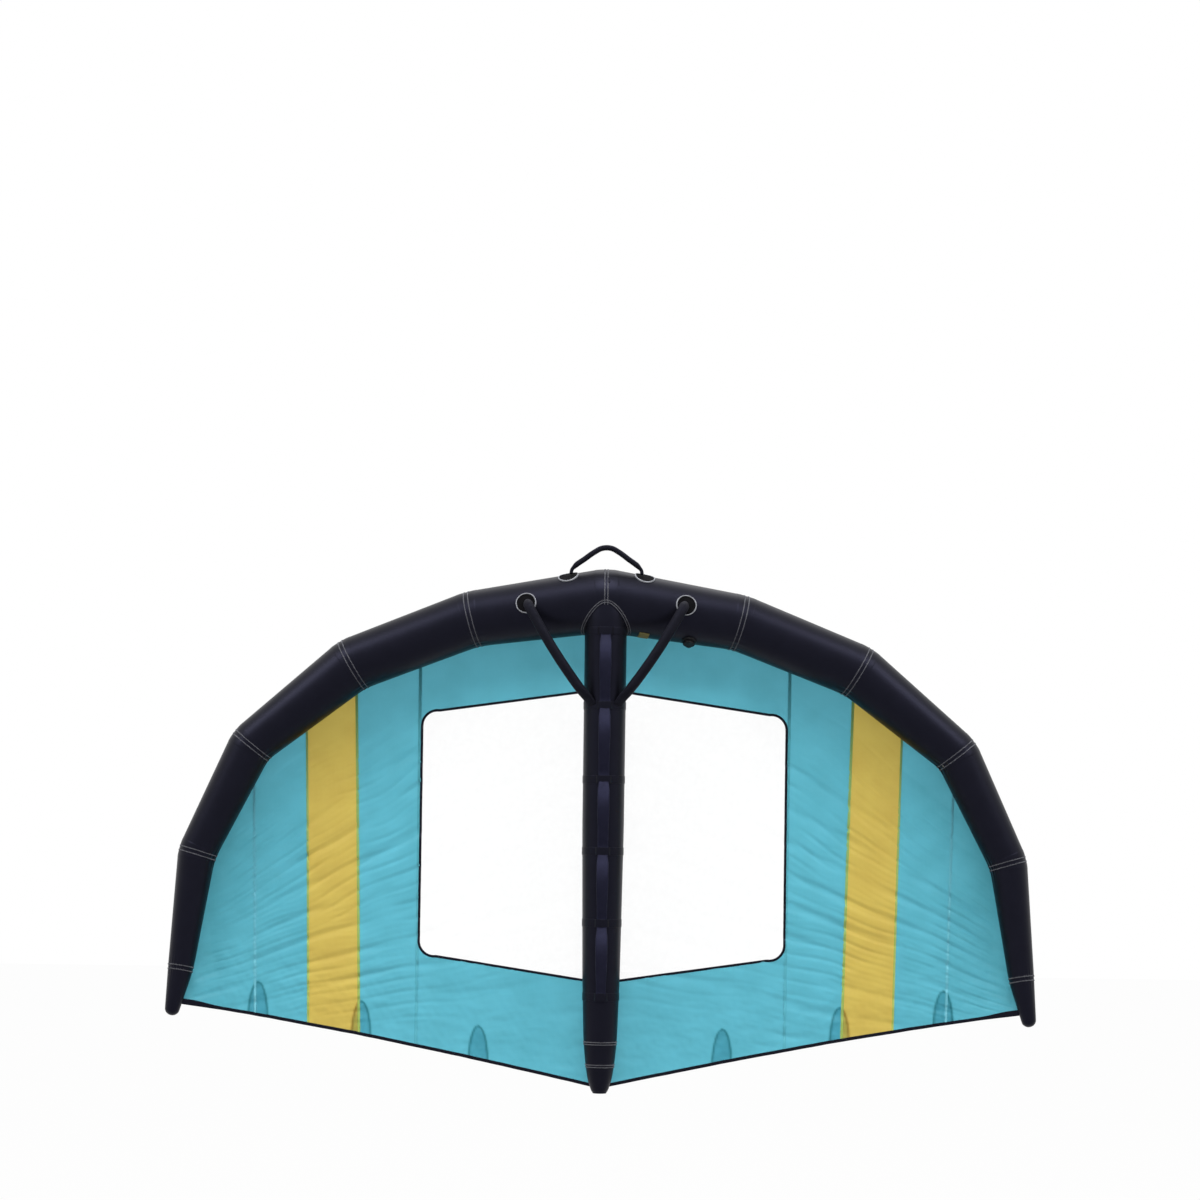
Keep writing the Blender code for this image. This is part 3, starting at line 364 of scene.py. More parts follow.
def sweep(path, first, second, widths, depths, fullness=1.0, around=16, ends=(1.0, 1.0), looped=False):
    """A bar carried along a path, with rounded ends, or joined to itself where it is looped.

    A ring is path + first * width * cos^fullness + second * depth * sin^fullness, so fullness 1 is an ellipse
    and less is boxier. Each end closes over a quarter circle that is ends times the depth long.
    """
    path = np.asarray(path, float)
    first, second = (np.broadcast_to(way, path.shape) for way in (first, second))
    widths, depths = (np.broadcast_to(size, len(path)) for size in (widths, depths))
    picks, scale = np.arange(len(path)), np.ones(len(path))
    if not looped:
        heading, turn = heading_of(path), np.linspace(math.radians(84), 0.0, 7)[:-1, None]
        start = path[0] - heading[0] * ends[0] * depths[0] * np.sin(turn)
        finish = path[-1] + heading[-1] * ends[1] * depths[-1] * np.sin(turn[::-1])
        path = np.concatenate((start, path, finish))
        picks = np.concatenate((np.repeat(picks[:1], len(turn)), picks, np.repeat(picks[-1:], len(turn))))
        scale = np.concatenate((np.cos(turn[:, 0]), scale, np.cos(turn[::-1, 0])))
    angle = turns(around)
    cosine, sine = (np.sign(wave) * np.abs(wave) ** fullness for wave in (np.cos(angle), np.sin(angle)))
    wide = (scale * widths[picks])[:, None, None] * cosine[:, None] * first[picks][:, None]
    deep = (scale * depths[picks])[:, None, None] * sine[:, None] * second[picks][:, None]
    return closed_shape(path[:, None] + wide + deep, looped)


def thread(points, normals, closed=False):
    """A thread laid through points on a surface: a thin ring of five corners round each point."""
    side = unit(np.cross(heading_of(points, closed), normals))
    angle = turns(5)[:, None]
    grid = points[:, None] + THREAD * (np.cos(angle) * side[:, None] + np.sin(angle) * normals[:, None])
    return closed_shape(grid, closed)


def map_bar(made, path, across):
    """A UV map on a bar, in metres: its distance along the path, and across it."""
    mesh = made.data
    points, numbers = np.empty(len(mesh.vertices) * 3), np.empty(len(mesh.loops), np.int32)
    mesh.vertices.foreach_get("co", points)
    mesh.loops.foreach_get("vertex_index", numbers)
    points = points.reshape(-1, 3)
    nearest = ((path**2).sum(axis=1) - 2 * points @ path.T).argmin(axis=1)
    spare, heading = points - path[nearest], heading_of(path)[nearest]
    across = np.broadcast_to(across, path.shape)[nearest]
    sideways = (spare * across).sum(axis=1) + 0.6 * (spare * np.cross(heading, across)).sum(axis=1)
    uv = np.stack((sideways, distance_along(path)[nearest] + (spare * heading).sum(axis=1)), axis=1)
    layer = mesh.uv_layers.new(name="surface")
    layer.data.foreach_set("uv", uv[numbers].astype(np.float32).ravel())


def add_bar(name, path, first, second, widths, depths, finish, slot, stands_for=None, body="wing", **shape):
    """A bar carried along a path, as a piece with a UV map in metres."""
    points, faces = sweep(path, first, second, widths, depths, **shape)
    made = add_piece(name, points, faces, finish, slot, stands_for, body=body)
    map_bar(made, path, first)
    return made


def add_tube(name, grid, along, radius, finish, slot, stands_for, pole=False, flip=True, open_at=None):
    """A tube of rings with a UV map in metres, along it and round it.

    A pole closes its last ring, and open_at says from their middles which faces are left out.
    """
    rows, around = grid.shape[:2]
    round_it = np.linspace(0.0, 2 * math.pi * radius, around + 1)
    uv = np.stack(np.broadcast_arrays(round_it, along if along.ndim == 2 else along[:, None]), axis=-1)
    faces, corners = [grid_faces(rows, around, wrap=True, flip=flip)], [grid_uvs(uv, flip=flip)]
    if open_at:
        shut = ~open_at(grid.reshape(-1, 3)[faces[0]].mean(axis=1))
        faces, corners = [faces[0][shut]], [corners[0][shut]]
    if pole:
        ring = np.arange(around)[None] + (rows - 1) * around
        faces.append(ring[:, ::-1] if flip else ring)
        corners.append(np.zeros((1, around, 2)))
    return add_piece(name, grid, faces, finish, slot, stands_for, uvs=corners)


# ---------------------------------------------------------------- finishes
def linear(code):
    """A screen colour, as hex, turned to the linear one that the shader takes."""
    channels = np.array([int(code[i:i + 2], 16) for i in (1, 3, 5)]) / 255
    low, high = channels / 12.92, ((channels + 0.055) / 1.055) ** 2.4
    return (*np.where(channels <= 0.04045, low, high), 1.0)


def add_node(tree, kind, inputs=(), out=0, into=None, **settings):
    """Adds a node with its settings and gives one of its outputs, which is also linked into a socket, if given.

    Inputs give each socket a number, a colour or another node's output.
    """
    node = tree.nodes.new(kind)
    for name, value in settings.items():
        setattr(node, name, value)
    for name, value in dict(inputs).items():
        if isinstance(value, bpy.types.NodeSocket):
            tree.links.new(value, node.inputs[name])
        else:
            node.inputs[name].default_value = value
    if into:
        tree.links.new(node.outputs[out], into)
    return node.outputs[out]


def new_finish(name, **sockets):
    """A material whose shader has the given sockets set."""
    made = bpy.data.materials.new(name)
    made.use_nodes = True
    shader = made.node_tree.nodes["Principled BSDF"]
    for socket, value in sockets.items():
        shader.inputs[socket.replace("_", " ")].default_value = value
    return made, made.node_tree, shader


def clouded_colour(tree, shader, place, codes, per_metre, detail, roughness, stops=(0.0, 1.0)):
    """Soft clouds that move the colour between two codes. Gives the clouds' output."""
    cloud = {"Vector": place, "Scale": per_metre, "Detail": detail, "Roughness": roughness}
    drift = add_node(tree, "ShaderNodeTexNoise", cloud, out="Fac")
    colour = add_node(tree, "ShaderNodeValToRGB", {"Fac": drift}, into=shader.inputs["Base Color"])
    for stop, position, code in zip(colour.node.color_ramp.elements, stops, codes):
        stop.position, stop.color = position, linear(code)
    return drift


# A wave texture's stripe is this many metres wide at scale 1
WAVE = 2 * math.pi / 20
# Rolling, folding and sun leave clouds of about this size in a sail's cloth
MOTTLE = 0.060
RIPSTOP_GRID = 0.005


def woven_cloth(name, codes, thread_mm, depth_mm, **sockets):
    """Woven cloth: two sets of threads across each other raise the surface, and its colour drifts a little."""
    made, tree, shader = new_finish(name, **sockets)
    place = add_node(tree, "ShaderNodeUVMap", uv_map="surface")
    warp = {"Vector": place, "Scale": WAVE / (thread_mm / 1000), "Distortion": 0.4, "Detail": 1.0}
    across = add_node(tree, "ShaderNodeTexWave", warp, out="Fac", bands_direction="X")
    along = add_node(tree, "ShaderNodeTexWave", warp, out="Fac", bands_direction="Y")
    cloth = add_node(tree, "ShaderNodeMath", {0: across, 1: along}, operation="MULTIPLY")
    drift = clouded_colour(tree, shader, place, codes, 1 / MOTTLE, 5.0, 0.6, stops=(0.3, 0.7))
    rough = {"Value": drift, "To Min": sockets["Roughness"] - 0.02, "To Max": sockets["Roughness"] + 0.02}
    add_node(tree, "ShaderNodeMapRange", rough, into=shader.inputs["Roughness"])
    bump = {"Height": cloth, "Strength": 0.5, "Distance": depth_mm / 1000}
    add_node(tree, "ShaderNodeBump", bump, into=shader.inputs["Normal"])
    return made


def ripstop(name, codes, line_code, passed=0.62):
    """Ripstop polyester: a smooth coated cloth with a raised grid of thicker threads, 5 mm apart as in real cloth.

    Its shade attribute mixes in the darker colour as painted shade. A share of the light passes through, so the cloth
    glows a little against the light, and less where it is doubled. The light goes through both skins of a sheet, so
    each takes the square root of the colour.
    """
    made, tree, shader = new_finish(
        name, Roughness=0.48, Specular_IOR_Level=0.30, Sheen_Weight=0.10, Sheen_Roughness=0.4,
    )
    place = add_node(tree, "ShaderNodeUVMap", uv_map="surface")
    heights = []
    for way in ("X", "Y"):
        line = {"Vector": place, "Scale": WAVE / RIPSTOP_GRID, "Distortion": 0.0}
        stripe = add_node(tree, "ShaderNodeTexWave", line, out="Fac", bands_direction=way)
        heights.append(add_node(tree, "ShaderNodeMapRange", {"Value": stripe, "From Min": 0.86, "From Max": 0.98}))
    lines = add_node(tree, "ShaderNodeMath", {0: heights[0], 1: heights[1]}, operation="MAXIMUM")
    depth = add_node(tree, "ShaderNodeAttribute", out="Fac", attribute_name="shade")
    cloud = {"Vector": place, "Scale": 9.0, "Detail": 4.0, "Roughness": 0.55}
    drift = add_node(tree, "ShaderNodeTexNoise", cloud, out="Fac")
    uneven = {"Value": drift, "From Min": 0.3, "From Max": 0.7, "To Min": -0.10, "To Max": 0.10}
    uneven = add_node(tree, "ShaderNodeMapRange", uneven)
    amount = add_node(tree, "ShaderNodeMath", {0: depth, 1: uneven}, operation="ADD", use_clamp=True)
    # The shade attribute, with a little random unevenness, mixes in the darker colour: painted shade
    cloth = {0: amount, 6: linear(codes[0]), 7: linear(codes[1])}
    cloth = add_node(tree, "ShaderNodeMix", cloth, out=2, data_type="RGBA")
    faint = add_node(tree, "ShaderNodeMath", {0: lines, 1: 0.22}, operation="MULTIPLY")
    grid = {0: faint, 6: cloth, 7: linear(line_code)}
    grid = add_node(tree, "ShaderNodeMix", grid, out=2, into=shader.inputs["Base Color"], data_type="RGBA")
    bump = {"Height": lines, "Strength": 0.4, "Distance": 0.00012}
    add_node(tree, "ShaderNodeBump", bump, into=shader.inputs["Normal"])
    thin = add_node(tree, "ShaderNodeGamma", {"Color": grid, "Gamma": 0.5})
    glow = add_node(tree, "ShaderNodeBsdfTranslucent", {"Color": thin})
    surface = tree.nodes["Material Output"].inputs["Surface"]
    add_node(tree, "ShaderNodeMixShader", {0: passed, 1: shader.outputs[0], 2: glow}, into=surface)
    return made


def window_vinyl():
    """Clear vinyl film, cast and rolled: glossy, almost colourless, with a faint haze of fine scratches."""
    made, tree, shader = new_finish(
        "window_vinyl", Roughness=0.10, IOR=1.45, Specular_IOR_Level=0.5, Base_Color=linear("#eef3f4"),
    )
    place = add_node(tree, "ShaderNodeTexCoord", out="Object")
    cloud = {"Vector": place, "Scale": 7.0, "Detail": 6.0, "Roughness": 0.7}
    haze = add_node(tree, "ShaderNodeTexNoise", cloud, out="Fac")
    veil = {"Value": haze, "From Min": 0.35, "From Max": 0.7, "To Min": 0.03, "To Max": 0.07}
    add_node(tree, "ShaderNodeMapRange", veil, into=shader.inputs["Alpha"])
    bump = {"Height": haze, "Strength": 0.3, "Distance": 0.004}
    add_node(tree, "ShaderNodeBump", bump, into=shader.inputs["Normal"])
    return made


def moulded(name, codes, grain_mm, rough, specular):
    """Moulded rubber or plastic: a fine even grain from the mould, and a slight drift of shade."""
    made, tree, shader = new_finish(name, Roughness=rough, Specular_IOR_Level=specular)
    place = add_node(tree, "ShaderNodeTexCoord", out="Object")
    grain = {"Vector": place, "Scale": 1000 / grain_mm, "Detail": 2.0, "Roughness": 0.5}
    grain = add_node(tree, "ShaderNodeTexNoise", grain, out="Fac")
    clouded_colour(tree, shader, place, codes, 40.0, 3.0, 0.5)
    bump = {"Height": grain, "Strength": 0.25, "Distance": 0.0002}
    add_node(tree, "ShaderNodeBump", bump, into=shader.inputs["Normal"])
    return made


# Black polyester sailcloth, woven and coated: near black, with a sheen where light grazes it, tinted bluish as a
# painted reflection of the sky.
# Its threads are about 0.4 mm apart, drawn at 1.8 mm to show.
DACRON = woven_cloth(
    "sail_dacron", ("#07070a", "#0a0a0f"), 1.8, 0.05,
    Roughness=0.40, Specular_IOR_Level=0.23, Specular_Tint=linear("#a4a6d4"),
)
# The doubled sailcloth of bands, hoops and hems: the same weave, a little deeper black, with the same bluish tint of
# painted sky reflection in its sheen
BAND = woven_cloth(
    "band_dacron", ("#08080b", "#0b0b10"), 1.8, 0.06,
    Roughness=0.42, Specular_IOR_Level=0.21, Specular_Tint=linear("#a4a6d4"),
)
# Nylon webbing, woven in ribs across its width: black, with a gleam on its crowns tinted navy as a painted reflection
# of the sky.
# The ribs are 1.5 mm apart, drawn at 3 mm to show.
WEBBING = woven_cloth(
    "handle_webbing", ("#0e0e15", "#161620"), 3.0, 0.5,
    Roughness=0.50, Specular_IOR_Level=0.22, Specular_Tint=linear("#a4a8f0"),
    Sheen_Weight=0.10, Sheen_Roughness=0.40, Sheen_Tint=linear("#8a90cf"),
)
# Knitted cover of foam grips: a matt, slightly hairy near black, with gloss and sheen tinted navy as a painted
# reflection of the sky. Its loops are drawn at 2.4 mm to show.
KNIT = woven_cloth(
    "handle_knit", ("#0b0b0f", "#121218"), 2.4, 0.4,
    Roughness=0.60, Specular_IOR_Level=0.13, Specular_Tint=linear("#a4a6cc"),
    Sheen_Weight=0.04, Sheen_Roughness=0.55, Sheen_Tint=linear("#8d8fa8"),
)
# Grey hatched polyester tape along the canopy's front edge, drawn at 4 mm to show its weave
TAPE_GREY = woven_cloth(
    "grey_edge_tape", ("#8a8c94", "#a3a5ac"), 4.0, 0.4, Roughness=0.6, Specular_IOR_Level=0.3,
)
# The small straw-coloured pull tab behind the leading edge, of cotton webbing drawn at 2 mm
TAB_WEB = woven_cloth("straw_tab_web", ("#6f6438", "#84794a"), 2.0, 0.3, Roughness=0.7, Specular_IOR_Level=0.2)
# The canopy's coated ripstop polyester, cyan and in the stripes a warm yellow: satin, and bright against the light.
# The second colour of each is painted shade, mixed in by the cloth's shade attribute
CYAN = ripstop("cyan_ripstop", ("#68c0d2", "#2c8490"), "#85cddb")
YELLOW = ripstop("yellow_ripstop", ("#d4c162", "#a5812e"), "#e0d088")
# The same cloth doubled at the patches and in the lapped seams, where two colours mix
PATCH_CLOTH = ripstop("doubled_patch_ripstop", ("#7accda", "#58b0bc"), "#90d6e0", passed=0.84)
TEAL_SEAM = ripstop("doubled_cyan_ripstop", ("#5fb9cb", "#4199a6"), "#7cc8d6", passed=0.30)
GREEN_SEAM = ripstop("doubled_green_ripstop", ("#a9bd58", "#78b078"), "#b6c972", passed=0.30)
OLIVE_SEAM = ripstop("doubled_olive_ripstop", ("#b2c05a", "#80b27a"), "#bfcb76", passed=0.30)
PALE_SEAM = ripstop("doubled_pale_ripstop", ("#74c4d5", "#62b6c8"), "#88cedb", passed=0.30)
# The clear film of the two windows
VINYL = window_vinyl()
# Grey polyester sewing thread, twisted, slightly glossy
THREAD_GREY = moulded("sewing_thread", ("#5c5d63", "#6d6e74"), 0.8, 0.55, 0.3)
# Light grey thermoplastic rubber of the eyelets' moulded rims
RIM_RUBBER = moulded("grey_rim_rubber", ("#7b7d83", "#8f9197"), 0.6, 0.5, 0.3)
# Black rubber of the eyelets' discs
DISC_RUBBER = moulded("black_disc_rubber", ("#08080a", "#0d0d10"), 0.6, 0.75, 0.04)
# Black glass-filled nylon of the valve, with a fine moulded grain
VALVE_NYLON = moulded("valve_nylon", ("#0c0c0f", "#121216"), 0.5, 0.48, 0.15)
# Milky thermoplastic polyurethane of the bladders
BLADDER_FILM = moulded("bladder_film", ("#b8bab6", "#cbccc8"), 1.5, 0.35, 0.45)
# Coated patch at the centre of the leading edge, dark in itself: its lilac grey is a painted highlight of its shiny
# coat
PATCH_PAINTED_HIGHLIGHT = moulded("patch_coating_painted_highlight", ("#8f8c9c", "#a5a2b2"), 0.7, 0.28, 0.5)


# ---------------------------------------------------------------- leading edge
def le_joints():
    """Middle line points and radii from the left tip to the right tip."""
    shares = np.array(LE_JOINT_SHARES)
    right = np.stack((shares[:, 0] * HALF_SPAN, shares[:, 2] * ARCH, -LE_RADIUS - shares[:, 1] * SWEEP), axis=1)
    left = right[:0:-1] * (-1, 1, 1)
    radii = shares[:, 3] * LE_RADIUS
    return np.concatenate((left, right)), np.concatenate((radii[:0:-1], radii))


LE_POINTS, LE_RADII = le_joints()
LE_STEPS = np.diff(LE_POINTS, axis=0)
LE_LENGTHS = np.linalg.norm(LE_STEPS, axis=1)
LE_HEADINGS = unit(LE_STEPS)
LE_CENTER = len(LE_POINTS) // 2


def near_joints(segment, distance):
    """The bent joints at the ends of a panel, each with the distances past it."""
    ends = ((segment, distance), (segment + 1, distance - LE_LENGTHS[segment]))
    return [(joint, run) for joint, run in ends if 0 < joint < len(LE_POINTS) - 1]


def le_line(segment, distance):
    """Middle line, heading and radius on one panel, rounded off within f of a joint J.

    There it is J + a d + (b - a) (d + f)^2 / 4f, for headings a before and b after the joint.
    """
    point = LE_POINTS[segment] + LE_HEADINGS[segment] * distance[..., None]
    facing = np.broadcast_to(LE_HEADINGS[segment], point.shape)
    for joint, run in near_joints(segment, distance[..., None]):
        before, after = LE_HEADINGS[joint - 1], LE_HEADINGS[joint]
        near, d = np.abs(run) < LE_ROUNDING, run + LE_ROUNDING
        bent = LE_POINTS[joint] + before * run + (after - before) * d**2 / (4 * LE_ROUNDING)
        point = np.where(near, bent, point)
        facing = np.where(near, before + (after - before) * d / (2 * LE_ROUNDING), facing)
    radius = mix(LE_RADII[segment], LE_RADII[segment + 1], distance / LE_LENGTHS[segment])
    return point, unit(facing), radius


def le_spokes(facing, angle):
    """Directions out of the tube: angle 0 points to the nose side, a quarter turn to the canopy side."""
    up = unit(Y - (facing @ Y)[..., None] * facing)
    return np.cos(angle)[..., None] * np.cross(facing, up) + np.sin(angle)[..., None] * up


def le_relief(segment, distance, angle, spokes):
    """How the inflated cloth stands off its cut shape.

    A joint's doubled seam draws the tube in by a bell curve, and on the inner side of a bend the cloth puckers:
    waves round the tube that fade along it as a bell curve.
    """
    relief = np.zeros(spokes.shape[:-1])
    for joint, run in near_joints(segment, distance):
        bend = LE_HEADINGS[joint] - LE_HEADINGS[joint - 1]
        inner = np.clip(spokes @ unit(bend), 0.0, 1.0) ** 1.5
        waves = np.cos(23 * angle + 0.7 * joint) + 0.6 * np.cos(37 * angle + 1.9 * joint)
        height = PUCKER * np.linalg.norm(bend) / 0.3 * inner * waves
        relief += height * np.exp(-((run / PUCKER_REACH) ** 2)) - CINCH * np.exp(-((run / CINCH_WIDTH) ** 2))
    return relief


def le_place(segment, distance, angle, offset=0.0):
    """Points and outward directions on the tube, for a distance along a panel and an angle round it each."""
    point, facing, radius = le_line(segment, distance)
    spokes = le_spokes(facing, angle)
    reach = radius + le_relief(segment, distance, angle, spokes) + offset
    return point + spokes * reach[..., None], spokes


def beside_valve(middle):
    """Whether a face lies in the valve's hole: near the valve's axis, on its side of the tube."""
    spot = middle - VALVE_PLACE
    from_axis = np.linalg.norm(spot - (spot @ VALVE_OUT)[:, None] * VALVE_OUT, axis=1)
    return (from_axis < VALVE_NECK[0] + 0.004) & (spot @ VALVE_OUT > -0.05)


def make_le_panels():
    """The five tapered panels of each side, as smooth inflated tubes, with the valve's hole left open."""
    for side, word in SIDES:
        for number in range(1, 6):
            segment = LE_CENTER - 1 + number if side > 0 else LE_CENTER - number
            rows = rows_between(0.0, LE_LENGTHS[segment], LE_STEP)
            grid, _ = le_place(segment, rows[:, None], turns(LE_AROUND))
            open_at = beside_valve if side > 0 and number == 1 else None
            add_tube(f"panel_cloth_{number}_{word}", grid, rows, LE_RADII[segment], DACRON, "black_dacron",
                     f"le_panel_{number}_{word}", open_at=open_at)


def make_le_tips():
    """The last tapered stretch of each side and its domed end, closed at the pole.

    The dome's reach and width, in tip radii, round over the corners of the cut shape.
    """
    shares = smooth_route(((0.0, 1.0), *TIP_END_SHARES, (1.0, 0.02)), 18)[1:]
    radius = LE_RADII[-1]
    for side, word in SIDES:
        segment, end_point = (2 * LE_CENTER - 1, LE_POINTS[-1]) if side > 0 else (0, LE_POINTS[0])
        rows = rows_between(0.0, LE_LENGTHS[segment], LE_STEP)[::side]
        points, spokes = le_place(segment, rows[:, None], turns(LE_AROUND))
        dome = end_point + LE_HEADINGS[segment] * side * radius * shares[:, :1]
        caps = dome[:, None] + spokes[-1] * radius * shares[:, 1, None, None]
        along = np.concatenate((np.abs(rows - rows[0]), LE_LENGTHS[segment] + radius * shares[:, 0]))
        add_tube(f"tip_cloth_{word}", np.concatenate((points, caps)), along, LE_RADII[-2], DACRON, "black_dacron",
                 f"le_tip_{word}", pole=True, flip=side > 0)


def joint_name(joint):
    """The name of the joint at the centre, or a joint's number from the centre and its side."""
    number = abs(joint - LE_CENTER)
    return f"{number}_{'left' if joint < LE_CENTER else 'right'}" if number else "center"


def around_joint(joint, half, count, offset):
    """Rings of the tube from half a band's width before a joint to half a width after it."""
    before = LE_LENGTHS[joint - 1] + np.linspace(-half, 0.0, count)[:-1, None]
    after = np.linspace(0.0, half, count)[:, None]
    parts = ((joint - 1, before), (joint, after))
    return np.concatenate([le_place(segment, rows, turns(LE_AROUND), offset)[0] for segment, rows in parts])


def under_cloth(angle):
    """1 where the canopy lies on the tube, just behind its crest, and 0 elsewhere."""
    return ease((angle - CLOTH_START) / CLOTH_EDGE) * ease((CLOTH_START + CLOTH_SPREAD - angle) / CLOTH_EDGE)


def make_le_bands():
    """The doubled band over each joint: a strip that follows the tube and ends flush with it."""
    lift = BAND_WALL / 2 - BAND_SINK * under_cloth(turns(LE_AROUND))
    for joint in range(2, 2 * LE_CENTER - 1):
        outer = around_joint(joint, BAND_WIDTH / 2 - 0.002, 8, lift)
        edge = around_joint(joint, BAND_WIDTH / 2, 2, -0.0004)
        grid = np.concatenate((edge[:1], outer, edge[-1:]))
        name = joint_name(joint)
        add_tube(f"joint_band_{name}", grid, np.linspace(0.0, BAND_WIDTH, len(grid)), LE_RADII[joint], DACRON,
                 "band_dacron", f"le_band_{name}")


def zigzag_on_tube(joint, shift):
    """A zigzag row of thread round a joint: it steps from side to side every half pitch.

    Round the outer side of the bend the cloth is longer, so distances on it are divided by 1 + bend R cos / 2f.
    """
    radius = LE_RADII[joint]
    angle = turns(2 * int(2 * math.pi * radius / ZIGZAG_PITCH))
    before, after = LE_HEADINGS[joint - 1], LE_HEADINGS[joint]
    stretch = 1 - (le_spokes(unit(after + before), angle) @ (after - before)) * radius / (2 * LE_ROUNDING)
    swing = (shift + zigzag(len(angle), ZIGZAG_WIDTH)) / stretch
    lift = BAND_WALL / 2 + THREAD * 0.6 - THREAD_SINK * under_cloth(angle)
    earlier = le_place(joint - 1, LE_LENGTHS[joint - 1] + swing, angle, lift)
    later = le_place(joint, swing, angle, lift)
    points, normals = (np.where((swing < 0)[:, None], a, b) for a, b in zip(earlier, later))
    return thread(points, normals, closed=True)


def add_threads(name, rows):
    """Rows of grey thread as one piece."""
    add_piece(name, *joined(rows), THREAD_GREY, "band_dacron")


def make_le_stitches():
    """Two zigzag rows of grey thread over every joint, closer together at the centre."""
    for joint in range(1, 2 * LE_CENTER):
        half = (CENTER_ROW_APART if joint == LE_CENTER else ROW_APART) / 2
        add_threads(f"joint_stitches_{joint_name(joint)}", [zigzag_on_tube(joint, shift) for shift in (-half, half)])


def make_le_trims():
    """A black bar tack between the centre rows and the straw-coloured tab under the tube: flat strips round it."""
    trims = (
        ("center_bar_tack", 0.0060, 0.0045, (-47, -58), 0.0014, BAND),
        ("pull_tab", 0.160, 0.020, (-150, -178), 0.0012, TAB_WEB),
    )
    for name, middle, half, angles, half_thick, finish in trims:
        path, out = le_place(LE_CENTER, np.full(24, middle), np.radians(np.linspace(*angles, 24)), 0.0010)
        add_bar(name, path, LE_HEADINGS[LE_CENTER], out, half, half_thick, finish, "band_dacron", fullness=0.4)


def make_le_bladder():
    """The bladder inside the leading edge: a smooth film tube a few millimetres inside the cloth."""
    grids = []
    for segment, length in enumerate(LE_LENGTHS):
        line, facing, radius = le_line(segment, rows_between(0.0, length, BLADDER_STEP)[:-1, None])
        grids.append(line + le_spokes(facing, turns(BLADDER_AROUND)) * (radius - BLADDER_INSET)[..., None])
    add_piece("le_bladder_film", *closed_shape(np.concatenate(grids)), BLADDER_FILM, "bladder_film", "le_bladder")


# ---------------------------------------------------------------- strut
def strut_axis(reach):
    """The strut's middle line, a little lower at its tail."""
    along = (reach - LE_RADIUS) / (STRUT_REACH - LE_RADIUS)
    return np.stack((0 * reach, STRUT_RADIUS - LE_RADIUS - STRUT_DROP * along, -reach), axis=-1)


def strut_radius(reach):
    """The strut's radius: its profile's corners rounded by the mean over 60 mm, less near the end."""
    reach = np.asarray(reach, float)
    profile = np.array(STRUT_PROFILE_SHARES) * (STRUT_REACH, STRUT_RADIUS)
    window = np.clip(STRUT_REACH - reach, 0.0, 0.030)
    samples = [np.interp(reach + window * s, profile[:, 0], profile[:, 1]) for s in np.linspace(-1, 1, 9)]
    return np.mean(samples, axis=0) - ROOT_DIP * (1 - ease((reach - LE_RADIUS) / ROOT_DIP_LENGTH))


def strut_spokes(angle):
    """Directions out of the strut: angle 0 points right, a quarter turn to the canopy side."""
    return np.stack((np.cos(angle), np.sin(angle), 0 * angle), axis=-1)


def strut_place(reach, angle, offset=0.0):
    """Points on the strut, or standing off it, for a reach along it and an angle round it each."""
    return strut_axis(reach) + strut_spokes(angle) * (strut_radius(reach) + offset)[..., None]


def le_middle_line():
    """The leading edge's middle line and radii, sampled every 2 mm on the panels beside the centre."""
    parts = [le_line(s, rows_between(0.0, LE_LENGTHS[s], 0.002)) for s in (LE_CENTER - 1, LE_CENTER)]
    return np.concatenate([p[0] for p in parts]), np.concatenate([p[2] for p in parts])


def strut_root(angle, offset=0.0):
    """Where the strut's surface leaves the leading edge, for each angle: halving steps on the reach."""
    line, radii = le_middle_line()
    low, high = np.full(len(angle), 0.10), np.full(len(angle), 0.40)
    for _ in range(26):
        reach = (low + high) / 2
        away = np.linalg.norm(strut_place(reach, angle)[:, None] - line, axis=2)
        inside = (away - radii).min(axis=1) < offset
        low, high = np.where(inside, reach, low), np.where(inside, high, reach)
    return (low + high) / 2


def make_strut():
    """The strut's sleeve: its root follows the leading edge in a pointed arch."""
    angle = turns(STRUT_AROUND)
    start = strut_root(angle, 0.0004)
    reach = mix(start, SLEEVE_END, np.linspace(0.0, 1.0, len(rows_between(start.min(), SLEEVE_END, 0.007)))[:, None])
    along = np.concatenate((reach, reach[:, :1]), axis=1)
    add_tube("strut_cloth", strut_place(reach, angle), along, STRUT_RADIUS, DACRON, "black_dacron", "strut_sleeve")


def nearest_spot(spot, line, radii):
    """For each spot, the point of a tube's middle line that it belongs to: least distance^2 - radius^2."""
    return np.argmin(((spot[:, None] - line) ** 2).sum(axis=2) - radii**2, axis=1)


def stitched_row(route, line, radii):
    """A zigzag row of thread along a route on a tube, given by its middle line and radii."""
    along = distance_along(route)
    even = np.linspace(0.0, along[-1], int(2 * along[-1] / ZIGZAG_PITCH))
    spot = np.stack([np.interp(even, along, route[:, k]) for k in range(3)], axis=1)
    nearest = nearest_spot(spot, line, radii)
    side = np.cross(heading_of(spot), unit(spot - line[nearest]))
    normal = unit(spot + side * zigzag(len(even), ZIGZAG_WIDTH)[:, None] - line[nearest])
    return thread(line[nearest] + normal * (radii[nearest] + THREAD * 0.8)[:, None], normal)


def make_root_stitches():
    """Two zigzag rows that follow the strut's root on the leading edge, from one side of the canopy to the other.

    The rows lie a few millimetres away from the root's line, across the line and along the tube.
    """
    line, radii = le_middle_line()
    angle = np.linspace(math.radians(-226), math.radians(46), 500)
    root = strut_place(strut_root(angle), angle)
    normal = unit(root - line[nearest_spot(root, line, radii)])
    side = unit(np.cross(heading_of(root), normal))
    side *= np.sign((side * (root - strut_axis(np.full(len(root), 0.30)))).sum(axis=1))[:, None]
    add_threads("root_stitches", [stitched_row(root + side * out, line, radii) for out in ROOT_ROWS])


